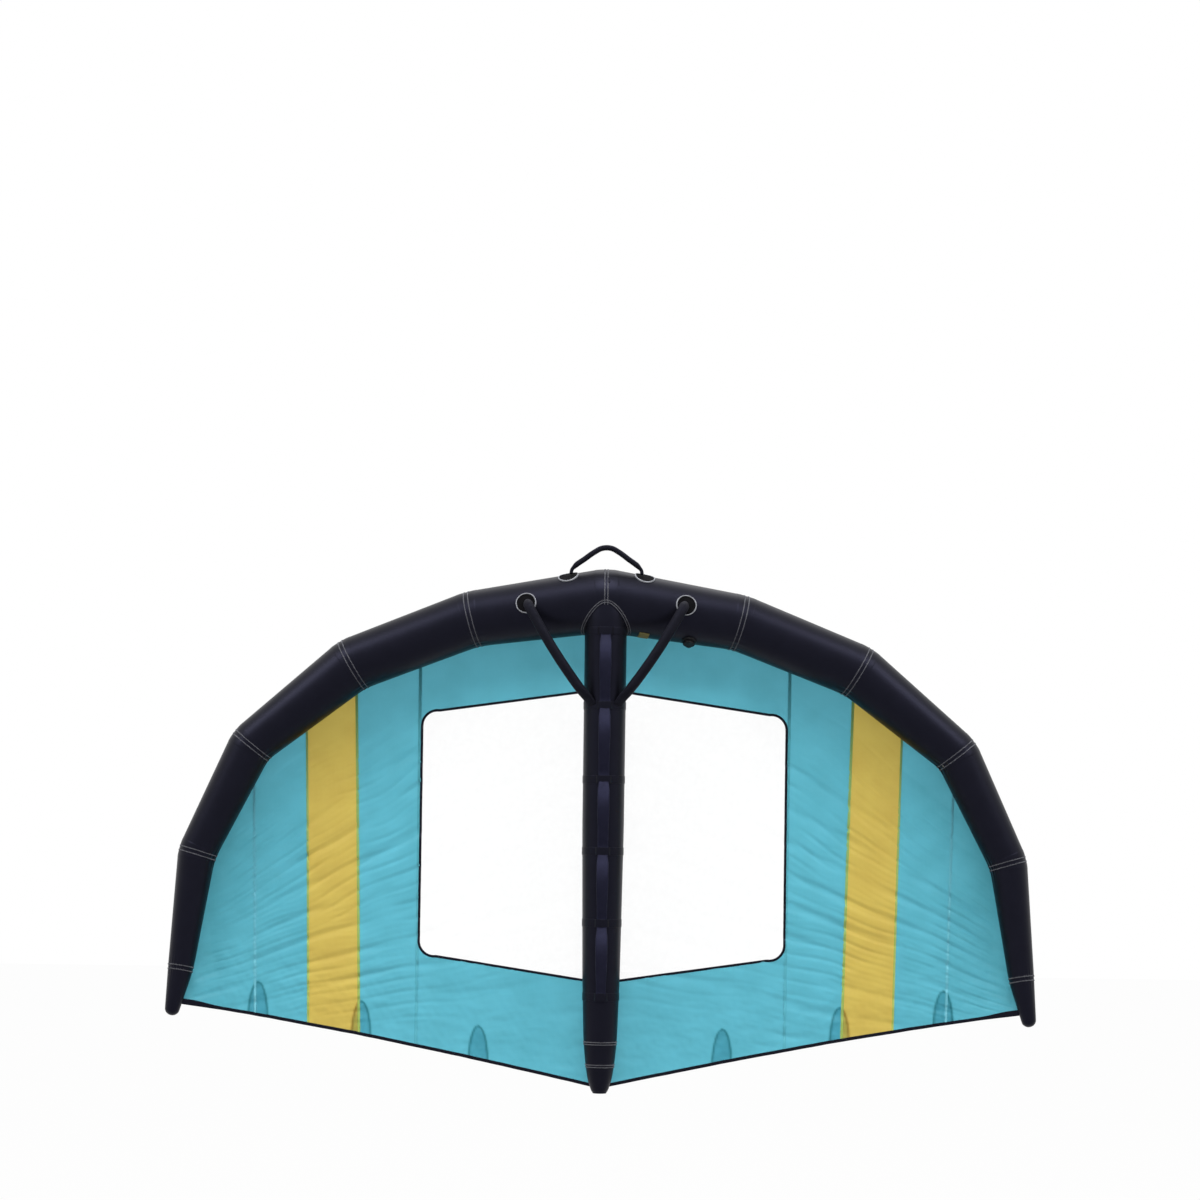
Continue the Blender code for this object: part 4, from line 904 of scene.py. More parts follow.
def make_tail_stitches():
    """Two double rows of thread round the tail cap."""
    angle = np.linspace(math.radians(-222), math.radians(42), 300)
    reach = rows_between(SLEEVE_END - 0.05, STRUT_REACH - 0.02, 0.001)
    routes = [strut_place(np.full(len(angle), place), angle) for place in TAIL_ROWS]
    add_threads("tail_stitches", [stitched_row(route, strut_axis(reach), strut_radius(reach)) for route in routes])


def make_strut_tail():
    """The tail cap: the strut's last stretch, turned in to a flat end with a rounded edge."""
    reach = rows_between(SLEEVE_END, STRUT_REACH - TAIL_EDGE, 0.004)
    radius = strut_radius(reach)
    edge = np.linspace(0.0, math.pi / 2, 7)[1:]
    reach = np.concatenate((reach, STRUT_REACH - TAIL_EDGE * (1 - np.sin(edge)), (STRUT_REACH,)))
    radius = np.concatenate((radius, radius[-1] - TAIL_EDGE * (1 - np.cos(edge)), (radius[-1] * 0.3,)))
    grid = strut_axis(reach[:, None]) + strut_spokes(turns(STRUT_AROUND)) * radius[:, None, None]
    add_tube("strut_tail", grid, reach, STRUT_RADIUS, BAND, "band_dacron", "strut_tail_cap", pole=True)


def make_strut_bladder():
    """The strut's bladder: a smooth closed film tube inside the sleeve."""
    reach = rows_between(STRUT_BLADDER_START, SLEEVE_END, BLADDER_STEP)
    shape = closed_shape(strut_place(reach[:, None], turns(BLADDER_AROUND), -BLADDER_INSET))
    add_piece("strut_bladder_film", *shape, BLADDER_FILM, "bladder_film", "strut_bladder")


def make_hoops():
    """The doubled hoops round the strut, over the webbing's feet, ending beside the canopy.

    A hoop stands off the strut by its own thickness, and by the webbing's where it crosses that.
    """
    angle = np.radians(np.linspace(-215, 35, 110))
    over = ease(1 - (np.abs(angle + math.pi / 2) * STRUT_RADIUS - STRIP_WIDTH / 2) / 0.010) * HOOP_OVER
    for number, reach in enumerate(HOOP_REACHES, start=1):
        path = strut_place(np.full(len(angle), reach), angle, over + 0.0006)
        shape = sweep(path, -Z, strut_spokes(angle), HOOP_WIDTH / 2, 0.0010, fullness=0.45, around=20)
        add_piece(f"strut_hoop_{number}", *shape, BAND, "band_dacron")


def make_strip():
    """The webbing strip along the underside of the strut, bent a little round it."""
    reach = rows_between(STRIP_START, STRIP_END, 0.012)
    angle = np.linspace(-1.0, 1.0, 13) * STRIP_WIDTH / 2 / STRUT_RADIUS - math.pi / 2
    points = strut_place(reach[:, None], angle, STRIP_THICKNESS + 0.0003)
    add_strip("handle_strip_webbing", points, angle * STRUT_RADIUS, reach, WEBBING, "webbing", STRIP_THICKNESS,
              "strut_handle_strip")


def make_loops():
    """The five hand loops: doubled webbing, widest and thickest near the front of each loop.

    A loop's feet lie on the strip, and its middle line rises as sin(turn)^fullness between them.
    """
    for number in range(LOOP_COUNT):
        start = LOOP_FIRST + number * LOOP_PITCH
        reach = np.linspace(start + 0.002, start + LOOP_PITCH - 0.002, LOOP_ROWS)
        share = np.clip((reach - start - LOOP_FOOT / 2) / (LOOP_PITCH - LOOP_FOOT), 0.0, 1.0)
        rise = LOOP_RISE * np.sin(share**LOOP_SKEW * math.pi).clip(0.0) ** LOOP_FULLNESS
        path = strut_place(reach, np.full(LOOP_ROWS, -math.pi / 2), STRIP_THICKNESS + LOOP_STAND + rise)
        out = np.cross(heading_of(path), X)
        out *= np.sign(-out[:, 1:2])
        widths = mix(*LOOP_WIDTHS, ease(share * 7) * ease((1 - share) * 1.6))
        depths = mix(*LOOP_DEPTHS, ease(share * 6) * ease((1 - share) * 2.5))
        add_bar(f"hand_loop_{number + 1}", path, X, out, widths, depths, WEBBING, "webbing",
                f"strut_handle_{number + 1}", fullness=0.5, around=24, ends=(0.6, 0.6))


# ---------------------------------------------------------------- canopy
def crest_table():
    """The sewn line on top of the leading edge on the right: x, y, z and the middle line's y."""
    rows = []
    for segment in range(LE_CENTER, 2 * LE_CENTER):
        line, facing, radius = le_line(segment, rows_between(0.0, LE_LENGTHS[segment], 0.004))
        crest = line + le_spokes(facing, np.full(len(line), math.pi / 2)) * radius[:, None]
        rows.append(np.column_stack((crest, line[:, 1])))
    table = np.concatenate(rows)
    return table[np.argsort(table[:, 0])]


CREST = crest_table()
SEWN_Y, SEWN_Z, MIDDLE_Y = 1, 2, 3
# Top and bottom x of the tip panel's lines, which fan out to the last stretch of the trailing edge
TIP_LINES = [SEAMS[-1]] + [
    (top, mix(SEAMS[-1][1], TE_TIP_X, share)) for top, share in ((1.58047, 0.52), (1.63334, 0.88), (1.64925, 1.0))
]
# Every line between which the panels' lines are drawn, from the centre to the tip
LINES = np.array([(0.0, 0.0), *SEAMS, *TIP_LINES[1:]])


def crest_at(x, column):
    """A column of the crest's table at a distance from the centre, on either side."""
    return np.interp(np.abs(x), CREST[:, 0], CREST[:, column])


def te_reach(x):
    """Distance of the trailing edge below the nose, a little hollow between centre and tip."""
    share = np.abs(x) / TE_TIP_X
    return mix(TE_CENTER_REACH, TE_TIP_REACH, share) - TE_HOLLOW * 4 * share * (1 - share)


def strut_drop(reach):
    """How far the canopy has come down from the crest to lie on the strut: half a cosine wave."""
    top = strut_axis(np.asarray(reach))[..., 1] + strut_radius(reach) + 0.0003
    along = np.clip((reach + CREST[0, 2]) / STRUT_BLEND, 0.0, 1.0)
    return (CREST[0, 1] - top) * (1 - np.cos(along * math.pi)) / 2


def folds(turn, spacing, wander, seed, x, z):
    """Rounded folds, one every spacing: a cosine sharpened on its crests.

    Slow waves shift them a little and let each grow and fade along its run.
    """
    phase = turn / spacing * 2 * math.pi + wander * ripple(x * 1.1, z * 1.5, seed)
    crest = ((1 + np.cos(phase + 0.5 * np.sin(phase))) / 2) ** 2.2 - 0.3
    return crest * ease(0.60 + 0.9 * ripple(x * 2.2, z * 3.6, seed + 4.0))


def creases(x, z):
    """Height of the cloth's wrinkles.

    Three families of folds run out from a point beyond each tip, and fade towards the leading edge and the strut.
    Fine crinkles fill the cloth below the windows.
    """
    far, side = np.abs(x), np.sign(x)
    out, down = FOLD_CENTER[0] - far, z - FOLD_CENTER[1]
    turn, seed = np.arctan2(down, out), 0.9 + 1.7 * side
    height = 0.0
    for spacing, bend, dense, wander, later, waves, tall in FOLD_FAMILIES:
        swung = turn + bend * ripple(far * dense, z * 2, seed)
        height = height + tall * folds(swung, spacing, wander, seed + later, far * waves, z * waves)
    below, above = crest_at(x, SEWN_Z) - z, z + te_reach(x)
    zone = ease((below - 0.05) / 0.55) * ease((np.hypot(down, out) - 0.70) / 0.5)
    zone *= 0.30 + 0.70 * ease((far - 0.55) / 0.25) + 0.25 * ease((-1.45 - z) / 0.15)
    crinkle = ripple(far * 9, z * 17, seed) * 0.6 + ripple(far * 21, z * 33, seed + 3.0) * 0.4
    lower = ease((0.42 - above) / 0.30)
    height = height * zone * (1 - 0.40 * lower) + CRINKLE * crinkle * lower
    return height * ease((far - 0.012) / 0.05) * (0.30 + 0.70 * ease(above / 0.05))


def canopy(le_x, te_x, share):
    """Points of the cloth's underside on the line from le_x on the sewn edge to te_x on the trailing edge.

    The cloth leaves the crest of the tube, comes down to the strut at the centre and nearly level to the
    trailing edge outside it, and the two shapes are mixed by the distance from the strut.
    """
    edge_y = crest_at(le_x, SEWN_Y)
    x = mix(le_x, te_x, share)
    z = mix(crest_at(le_x, SEWN_Z), -te_reach(te_x), share)
    outer_drop = (edge_y - crest_at(le_x, MIDDLE_Y) - TE_LIFT) * share**2
    open_share = np.clip(np.abs(x) / VALLEY_WIDTH, 0.0, 1.0)
    weight = 1 - (1 - open_share) ** VALLEY_SHARE
    drop = mix(strut_drop(mix(LE_RADIUS, TE_CENTER_REACH, share)), outer_drop, weight)
    return np.stack((x, edge_y - drop + creases(x, z), z), axis=-1)


def cloth_columns(lines, step):
    """Columns between the given lines, spaced by about a step, on the top and bottom x of each."""
    lines = np.array(lines)
    parts = []
    for start, end in zip(lines[:-1], lines[1:]):
        count = max(1, int(math.ceil(np.abs(end - start).max() / step)))
        parts.append(mix(start, end, np.arange(count)[:, None] / count))
    return np.concatenate(parts + [lines[-1:]])


def cloth_grid(lines):
    """Points of a panel between lines, in rows from the tube to the trailing edge."""
    columns = cloth_columns(lines, CLOTH_STEP)
    longest = (TE_CENTER_REACH + crest_at(columns[:, 0], SEWN_Z)).max()
    return canopy(columns[:, 0], columns[:, 1], rows_between(0.0, 1.0, CLOTH_STEP / longest)[:, None])


def shade_of(points):
    """How much painted shade the cloth takes, seen from below: less beside the tube, where painted light lifts the
    tube's shadow, more towards the tips, and painted shadow of the tube beside it at the tips.

    A patch behind the cloth shows through as a slightly darker tongue of painted shade, where it holds back the light
    through the cloth, with a dark sewn edge.
    """
    far = np.abs(points[..., 0])
    below = crest_at(far, SEWN_Z) - points[..., 2]
    # near marks the cloth beside the tube, kept lighter by painted light against the tube's shadow; tip is painted
    # shadow of the tube at the tips
    near = 1 - ease((below - 0.02) / 0.45)
    tip = ease((far - 1.20) / 0.35) * (1 - ease((below - 0.10) / 0.60))
    outer = ease((far - 0.85) / 0.55)
    shade = np.clip(0.17 * (1 - near) + 0.09 * outer + 0.30 * tip, 0.0, 0.8)
    height = (points[..., 2] + te_reach(points[..., 0])) / PATCH_HEIGHT
    for center in PATCH_CENTERS:
        half = PATCH_WIDTH / 2 * np.sqrt(np.clip(1 - np.clip(height, 0.0, 1.0) ** PATCH_FULLNESS, 0.0, 1.0))
        inside = np.minimum(half - np.abs(far - center), (1.0 - height) * PATCH_HEIGHT * 0.8)
        # fill is painted shade where the patch behind holds back the light through the cloth
        fill = ease(inside / 0.006 + 0.5)
        edge = np.exp(-((inside - 0.002) / 0.004) ** 2)
        shade = shade + 0.10 * fill + 0.9 * edge
    return np.clip(shade, 0.0, 1.0)


def set_shade(made, values):
    """Keeps the shade of each point as an attribute that the cloth's material reads."""
    made.data.attributes.new("shade", "FLOAT", "POINT").data.foreach_set("value", values.astype(np.float32))


def add_cloth(name, points, finish, slot, stands_for, cut=None, keep=None, thickness=CLOTH * SKIN_SHARE, shade=None):
    """A sheet of cloth from a grid: the faces it keeps, its UVs and its shade, pointing to the canopy side.

    cut is the grid before its points were moved to an outline, where the cloth's weave and shade lie.
    """
    cut = points if cut is None else cut
    shade = shade_of(cut) if shade is None else shade
    flip = np.cross(points[0, 1] - points[0, 0], points[1, 0] - points[0, 0])[1] < 0
    faces, corners = grid_faces(*points.shape[:2], flip=flip), grid_uvs(cut[..., (0, 2)], flip=flip)
    if keep is not None:
        faces, corners = faces[keep.ravel()], corners[keep.ravel()]
    made = add_piece(name, points, [faces], finish, slot, stands_for, uvs=[corners])
    set_shade(made, shade.ravel()[np.unique(faces)])
    return wall(made, thickness, 1)


def window_corners():
    """The window's outline on the right in x and reach: straight sides, and rounded outer corners."""
    run = WINDOW_OUTER_X - WINDOW_INNER_X
    outline = []
    for (start, end), way in ((WINDOW_TOP_REACHES, 1), (WINDOW_BOTTOM_REACHES, -1)):
        slope = (end - start) / run
        lean = math.atan(slope)
        middle_x = WINDOW_OUTER_X - WINDOW_CORNER
        middle = start + slope * (middle_x - WINDOW_INNER_X) + way * WINDOW_CORNER / math.cos(lean)
        turn = np.linspace(way * math.pi / 2 + lean, 0.0, 14)
        arc = np.stack((middle_x + WINDOW_CORNER * np.cos(turn), middle - WINDOW_CORNER * np.sin(turn)), axis=1)
        side = np.concatenate((((WINDOW_INNER_X, start),), arc))
        outline.append(side if way > 0 else side[::-1])
    return np.concatenate(outline)


WINDOW = window_corners()


def window_distance(x, z):
    """Distance from the window's outline, less than 0 inside it, and the direction away from it."""
    spot = np.stack((np.abs(x), -z), axis=-1)
    a, b = WINDOW, np.roll(WINDOW, -1, axis=0)
    best = np.full(spot.shape[:-1], np.inf)
    away = np.zeros(spot.shape)
    inside = np.zeros(spot.shape[:-1], bool)
    for start, end in zip(a, b):
        edge = end - start
        if (edge**2).sum() < 1e-12:
            continue
        share = np.clip(((spot - start) @ edge) / (edge @ edge), 0.0, 1.0)
        gap = spot - start - share[..., None] * edge
        size = np.hypot(gap[..., 0], gap[..., 1])
        nearer = size < best
        best = np.where(nearer, size, best)
        away = np.where(nearer[..., None], gap, away)
        crosses = (start[1] > spot[..., 1]) != (end[1] > spot[..., 1])
        height = np.where(crosses, (spot[..., 1] - start[1]) / (edge[1] if edge[1] else 1.0), 0.0)
        inside ^= crosses & (spot[..., 0] < start[0] + edge[0] * height)
    return np.where(inside, -best, best), away


def snap_to_window(points):
    """Moves the grid points that lie next to the window's outline onto it, so that the cut is clean."""
    gap, away = window_distance(points[..., 0], points[..., 2])
    near = np.abs(gap) < CLOTH_STEP * 0.52
    shift = np.where(near[..., None], away, 0.0)
    moved = points.copy()
    moved[..., 0] -= shift[..., 0] * np.sign(points[..., 0])
    moved[..., 2] += shift[..., 1]
    middle = (moved[:-1, :-1] + moved[:-1, 1:] + moved[1:, 1:] + moved[1:, :-1]) / 4
    inside = window_distance(middle[..., 0], middle[..., 2])[0] < 0
    return moved, inside


def declare_sheet(made):
    """Reads the areas of a panel's faces, and does nothing more with them."""
    areas = np.empty(len(made.data.polygons))
    made.data.polygons.foreach_get("area", areas)


def make_center_panel():
    """The centre panel with its two windows: the cloth and the films share one grid, parted at the outline."""
    top, bottom = SEAMS[0]
    cut = cloth_grid([(-top, -bottom), (0.0, 0.0), (top, bottom)])
    points, inside = snap_to_window(cut)
    cloth = add_cloth("canopy_center_cloth", points, CYAN, "cyan_ripstop", "canopy_center", cut, ~inside)
    middle_x = (points[:-1, :-1, 0] + points[1:, 1:, 0]) / 2
    for side, word in SIDES:
        film = add_cloth(f"window_film_{word}", points, VINYL, "window_film", f"canopy_window_{word}", cut,
                         inside & (middle_x * side > 0), FILM * SKIN_SHARE)
        declare_sheet(film)
    declare_sheet(cloth)


def make_panels():
    """The panels beside the windows, cyan, the yellow stripe and cyan again, and the tip panels outside them."""
    beside = (
        ("inner", CYAN, "cyan_ripstop", SEAMS[0:2], (2, 3)),
        ("stripe", YELLOW, "yellow_ripstop", SEAMS[1:3], (2, 3)),
        ("outer", CYAN, "cyan_ripstop", SEAMS[2:4], (2, 3)),
    )
    for group in (beside, (("tip", CYAN, "cyan_ripstop", TIP_LINES, (4, 5)),)):
        for side, word in SIDES:
            for name, finish, slot, lines, under in group:
                points = cloth_grid(np.array(lines) * side)
                made = add_cloth(f"canopy_{name}_cloth_{word}", points, finish, slot, f"canopy_{name}_{word}")
                declare_sheet(made)


def make_hem():
    """The hem: a doubled strip folded over the whole trailing edge, with a slightly wavy lower edge.

    It widens to a small corner reinforcement beside each tip.
    """
    half = cloth_columns(LINES, 0.008)
    columns = np.concatenate((-half[:0:-1], half))
    path = canopy(columns[:, 0], columns[:, 1], np.ones(len(columns)))
    path[:, 2] -= HEM_WIDTH / 2 - 0.002 + 0.0006 * ripple(columns[:, 1] * 9, 0.0, 1.0)
    path[:, 1] += CLOTH / 2
    reach_out = unit(path[-1] - path[-4]) * HEM_OVERRUN
    path = np.concatenate((path[:1] + reach_out * (-1, 1, 1), path, path[-1:] + reach_out))
    heading = heading_of(path)
    down = unit(-Z + (heading @ Z)[:, None] * heading)
    corner = 0.005 * ease((np.abs(path[:, 0]) - 1.47) / 0.13)
    path[:, 2] += corner
    add_bar("canopy_hem_tape", path, down, np.cross(heading, down), HEM_WIDTH / 2 + 0.001 + corner, HEM_THICKNESS / 2,
            BAND, "band_dacron", "canopy_hem", fullness=0.55, around=14)


def le_at(far, share):
    """The top x of the line that passes a place at distance far from the centre, for its share of the line."""
    fine = np.linspace(0.0, LINES[-1, 0], 600)
    ratio = np.interp(fine, *LINES.T) / np.maximum(fine, 1e-9)
    found = far
    for _ in range(12):
        narrowed = mix(1.0, np.interp(found, fine, ratio), share)
        found = np.minimum(far / np.maximum(narrowed, 1e-6), LINES[-1, 0])
    return found


def cloth_at(x, z, lift):
    """Points on the canopy above a place in x and z: the share of its line is found by repeated division."""
    far, way = np.abs(x), np.sign(x + 1e-12)
    share = np.full(x.shape, 0.5)
    for _ in range(12):
        le_x = le_at(far, share)
        te_x = np.interp(le_x, *LINES.T)
        edge_z = crest_at(le_x, SEWN_Z)
        share = np.clip((edge_z - z) / (edge_z + te_reach(te_x)), 0.0, 1.0)
    return canopy(le_x * way, te_x * way, share) + Y * lift


def make_patches():
    """Six tongue-shaped reinforcements, sewn on the upper side of the cloth at the trailing edge.

    A tongue is half its width times sqrt(1 - share^fullness) up its height.
    """
    share = np.sin(np.linspace(0.0, math.pi / 2, 26))[:, None]
    half = PATCH_WIDTH / 2 * np.sqrt(1 - np.minimum(share, 0.9999) ** PATCH_FULLNESS)
    for side, word in SIDES:
        for number, center in enumerate(PATCH_CENTERS, start=1):
            x = center * side + half * np.linspace(-1.0, 1.0, 21)
            points = cloth_at(x, PATCH_HEIGHT * share - te_reach(x), CLOTH + 0.0006)
            add_cloth(f"te_patch_cloth_{number}_{word}", points, PATCH_CLOTH, "cyan_ripstop",
                      f"te_patch_{number}_{word}", thickness=0.0006, shade=np.full(points.shape[:2], 0.5))


# ---------------------------------------------------------------- seams and trims of the canopy
def add_ribbon(name, line, across, width, thickness, finish, slot):
    """A narrow tape laid along a line on the canopy: a flat bar with rounded edges."""
    heading = heading_of(line)
    across = unit(across - (across * heading).sum(axis=1)[:, None] * heading)
    up = np.cross(heading, across)
    return add_bar(name, line, across, up, width / 2, thickness / 2, finish, slot, fullness=0.5, around=12)


def make_seams():
    """Lapped seams between the panels: a narrow doubled strip on each side of the cloth, darker towards the top."""
    kinds = list(zip(SEAMS, (TEAL_SEAM, GREEN_SEAM, OLIVE_SEAM, PALE_SEAM), SEAM_WIDTHS))
    share = np.linspace(0.004, 0.998, SEAM_ROWS)
    for side, word in SIDES:
        for number, (ends, finish, width) in enumerate(kinds, start=1):
            line = canopy(*(np.full(SEAM_ROWS, x * side) for x in ends), share)
            for place, lift in (("upper", CLOTH), ("under", -0.0002)):
                made = add_ribbon(f"seam_{place}_{number}_{word}", line + Y * lift, X, width, 0.0010, finish,
                                  "cyan_ripstop")
                set_shade(made, np.linspace(0.85, 0.10, len(made.data.vertices)))


def make_bindings():
    """Black bindings round both windows: an even closed tape folded over the film's edge, seen from both sides."""
    outline = np.concatenate((WINDOW, WINDOW[:1]))
    outline = outline[np.append(True, np.diff(distance_along(outline)) > 1e-9)]
    along = distance_along(outline)
    even = np.linspace(0.0, along[-1], 700)[:-1]
    x, reach = (np.interp(even, along, outline[:, k]) for k in range(2))
    for side, word in SIDES:
        line = cloth_at(x * side, -reach, CLOTH / 2)
        heading = heading_of(line, closed=True)
        across = unit(np.cross(heading, Y))
        add_bar(f"window_binding_{word}", line, across, np.cross(heading, across), 0.0050, 0.0012, BAND,
                "band_dacron", fullness=0.5, around=12, looped=True)


def make_top_tapes():
    """The grey tape and the black seam beside it, along the tube where the canopy is sewn on."""
    spots = [(s, rows_between(0.0, LE_LENGTHS[s], 0.006)[:-1]) for s in range(LE_CENTER, 2 * LE_CENTER)]
    for side, word in SIDES:
        for name, degrees, width, finish in (("edge_tape", 83, 0.012, TAPE_GREY), ("edge_seam", 92, 0.007, BAND)):
            parts = [le_place(s, rows, np.full(len(rows), math.radians(degrees)), 0.0008) for s, rows in spots]
            line, out = (np.concatenate(part) * (side, 1, 1) for part in zip(*parts))
            chosen = (line[:, 0] * side >= 0.048) & (line[:, 0] * side <= 1.640)
            line, out = line[chosen], out[chosen]
            across = np.cross(heading_of(line), out)
            add_ribbon(f"{name}_{word}", line, across, width, 0.0016, finish, "band_dacron")


def add_strip(name, grid, across, along, finish, slot, thickness, stands_for=None):
    """A flat strip of cloth sewn on a tube, from its grid and the UVs across and along it."""
    uv = np.stack(np.meshgrid(across, along), axis=-1)
    faces = [grid_faces(*grid.shape[:2], flip=True)]
    made = add_piece(name, grid, faces, finish, slot, stands_for, uvs=[grid_uvs(uv, flip=True)])
    wall(made, thickness, -1)


def make_center_patch():
    """The bare coated patch over the centre of the leading edge, its lilac grey a painted highlight: a rounded
    square, |along|^6 + |up|^6 = 1.
    """
    half = np.linspace(0.0, PATCH_SIZE[0], 16)
    narrow = (1 - (half / (PATCH_SIZE[0] + 0.0002)) ** 6) ** (1 / 6)
    up = np.linspace(-PATCH_SIZE[1], PATCH_SIZE[1], 21)
    halves = (
        (LE_CENTER - 1, LE_LENGTHS[LE_CENTER - 1] - half[::-1], narrow[::-1]), (LE_CENTER, half[1:], narrow[1:]),
    )
    grid = np.concatenate([
        le_place(segment, distance[:, None], math.radians(76) + up * share[:, None] / LE_RADIUS, 0.0040)[0]
        for segment, distance, share in halves
    ])
    along = np.linspace(0.0, 2 * PATCH_SIZE[0], len(grid))
    add_strip("center_patch", grid, up, along, PATCH_PAINTED_HIGHLIGHT, "band_dacron", 0.0010)


# ---------------------------------------------------------------- eyelets and handles
def saddle(side, x, turn, radius, height):
    """Rings of a round fitting that follows the tube: distances along and round it from its own middle.

    radius and height are arrays of each ring's size and its height off the tube.
    """
    segment = LE_CENTER if side > 0 else LE_CENTER - 1
    run = x / abs(LE_HEADINGS[segment][0])
    middle = run if side > 0 else LE_LENGTHS[segment] - run
    local = mix(*LE_RADII[LE_CENTER:LE_CENTER + 2], x / LE_POINTS[LE_CENTER + 1][0])
    spot = turns(72)
    line, facing, size = le_line(segment, middle + side * radius[:, None] * np.cos(spot))
    spokes = le_spokes(facing, turn + radius[:, None] * np.sin(spot) / local)
    return line + spokes * (size + height[:, None])[..., None]


def add_disc(name, rings, finish, flip, stands_for=None):
    """A round fitting from its rings, outermost first, closed at its middle."""
    count, around = rings.shape[:2]
    faces = [grid_faces(count, around, wrap=True), np.arange(around)[None] + (count - 1) * around]
    faces = [f[:, ::-1] for f in faces] if flip else faces
    add_piece(name, rings, faces, finish, "eyelet_rubber", stands_for)


def make_eyelets():
    """Four moulded eyelets: a rounded grey rim on the tube round a black dished disc with a raised lip."""
    arc = np.linspace(0.0, math.pi, 15)
    rim_radius = np.concatenate(((RIM[0] + RIM[1],), RIM[0] + RIM[1] * np.cos(arc)))
    rim_height = np.concatenate(((-0.0008,), 0.0004 + RIM[2] * np.sin(arc)))
    for side, word in SIDES:
        for kind, x, turn in (("front", FRONT_EYELET_X, FRONT_EYELET_TURN), ("v", V_EYELET_X, V_EYELET_TURN)):
            rim = saddle(side, x, turn, rim_radius, rim_height)
            add_disc(f"{kind}_eyelet_rim_{word}", rim, RIM_RUBBER, side < 0)
            disc = saddle(side, x, turn, *DISC_RINGS.T)
            add_disc(f"{kind}_eyelet_disc_{word}", disc, DISC_RUBBER, side < 0, f"{kind}_eyelet_{word}")


def make_front_handle():
    """The front handle: a padded bar over the crest, whose ends flatten to webbing in the eyelets."""
    x, y, z = FRONT_HINGE
    half = [(share * x, y, mix(z, FRONT_CREST, rise)) for share, rise in FRONT_SHARES]
    path = smooth_route(half + [(-x, y, z) for x, y, z in half[-2::-1]], 130)
    thin = ease((np.abs(path[:, 0]) / x - 0.84) / 0.14)
    widths = mix(FRONT_WIDTH / 2, 0.0100, thin)
    depths = mix(FRONT_THICKNESS / 2 + 0.0010, 0.0070, thin)
    made = add_bar("front_handle_grip", path, Y, np.cross(Y, heading_of(path)), widths, depths, KNIT,
                   "handle_padding", "front_handle", body="front_handle", fullness=0.8, around=32)


def make_v_handles():
    """The two padded handles of the V, from their eyelets to where they are sewn down on the strut."""
    for side, word in SIDES:
        route = np.array(V_ROUTE) * (side, 1, 1)
        path = smooth_route(route, 120)
        heading = heading_of(path)
        normal = unit((route[-1] - strut_axis(-route[-1, 2])) * (1, 1, 0))
        flat = unit(normal - (heading @ normal)[:, None] * heading)
        share = np.linspace(0.0, 1.0, len(path))
        thin, start = ease((share - 0.78) / 0.22), mix(0.80, 1.0, ease(share / 0.06))
        made = add_bar(f"v_handle_grip_{word}", path, np.cross(heading, flat), flat,
                       mix(V_RADIUS, 0.021, thin) * start, mix(V_RADIUS, 0.0045, thin) * start, KNIT,
                       "handle_padding", f"v_handle_{word}", fullness=0.95, around=32, ends=(0.4, 0.6))


# ---------------------------------------------------------------- valve
def rounded(profile, radius):
    """A profile with its corners rounded: each becomes a short curve (1-t)^2 a + 2 t (1-t) b + t^2 c."""
    profile = np.array(profile, float)
    t = np.linspace(0.0, 1.0, 5)[:, None]
    parts = [profile[:1]]
    for a, b, c in zip(profile[:-2], profile[1:-1], profile[2:]):
        before, after = np.linalg.norm(a - b), np.linalg.norm(c - b)
        start = b + (a - b) / before * min(radius, before / 2)
        end = b + (c - b) / after * min(radius, after / 2)
        parts.append((1 - t) ** 2 * start + 2 * t * (1 - t) * b + t**2 * end)
    return np.concatenate(parts + [profile[-1:]])


def turned(profile, looped=True):
    """A profile of radius and height turned round the valve's axis: a ring if looped, else closed at the axis."""
    angle = turns(96)[:, None]
    ring = np.cos(angle) * VALVE_ALONG + np.sin(angle) * VALVE_BACK
    radius, height = profile.T[..., None, None]
    return closed_shape(VALVE_PLACE + VALVE_OUT * height + ring * radius, looped)


def valve_spot(along, back, out):
    """A point from the valve's middle, by distances along the tube, towards the canopy and out."""
    return VALVE_PLACE + VALVE_ALONG * along + VALVE_BACK * back + VALVE_OUT * out


def short_bar(start, end, first, second, width, depth, fullness=0.3, around=20, ends=0.3):
    """A short moulded bar from one point to another."""
    path = mix(start, end, np.linspace(0.0, 1.0, 5)[:, None])
    return sweep(path, first, second, width, depth, fullness=fullness, around=around, ends=(ends, ends))


def hinge_bar(half, size, **shape):
    """A bar along the cap's hinge line: half its length and its half width."""
    ends = [valve_spot(way * half, VALVE_HINGE_REACH, VALVE_HINGE_HEIGHT) for way in (-1, 1)]
    return short_bar(*ends, VALVE_BACK, VALVE_OUT, size, size, **shape)


def make_valve_base():
    """The valve's flanged base and neck, turned, with the cap's two hinge lugs and their pin."""
    flange, flange_height = VALVE_FLANGE
    neck, neck_height = VALVE_NECK
    parts = [turned(rounded((
        (VALVE_BORE, -0.010), (VALVE_BORE, neck_height), (neck, neck_height), (neck, flange_height + 0.001),
        (flange - 0.004, flange_height), (flange, flange_height - 0.003), (flange, -0.006), (neck, -0.010),
    ), 0.0008))]
    for way in (-1, 1):
        middle = way * (VALVE_KNUCKLE[1] / 2 + 0.0026)
        ends = [valve_spot(middle, VALVE_HINGE_REACH, out) for out in (0.002, VALVE_HINGE_HEIGHT)]
        parts.append(short_bar(*ends, VALVE_ALONG, VALVE_BACK, 0.0019, 0.0026))
    parts.append(hinge_bar(VALVE_KNUCKLE[1] / 2 + 0.004, 0.0010))
    add_piece("valve_base_moulding", *joined(parts), VALVE_NYLON, "valve_plastic", "valve_base")


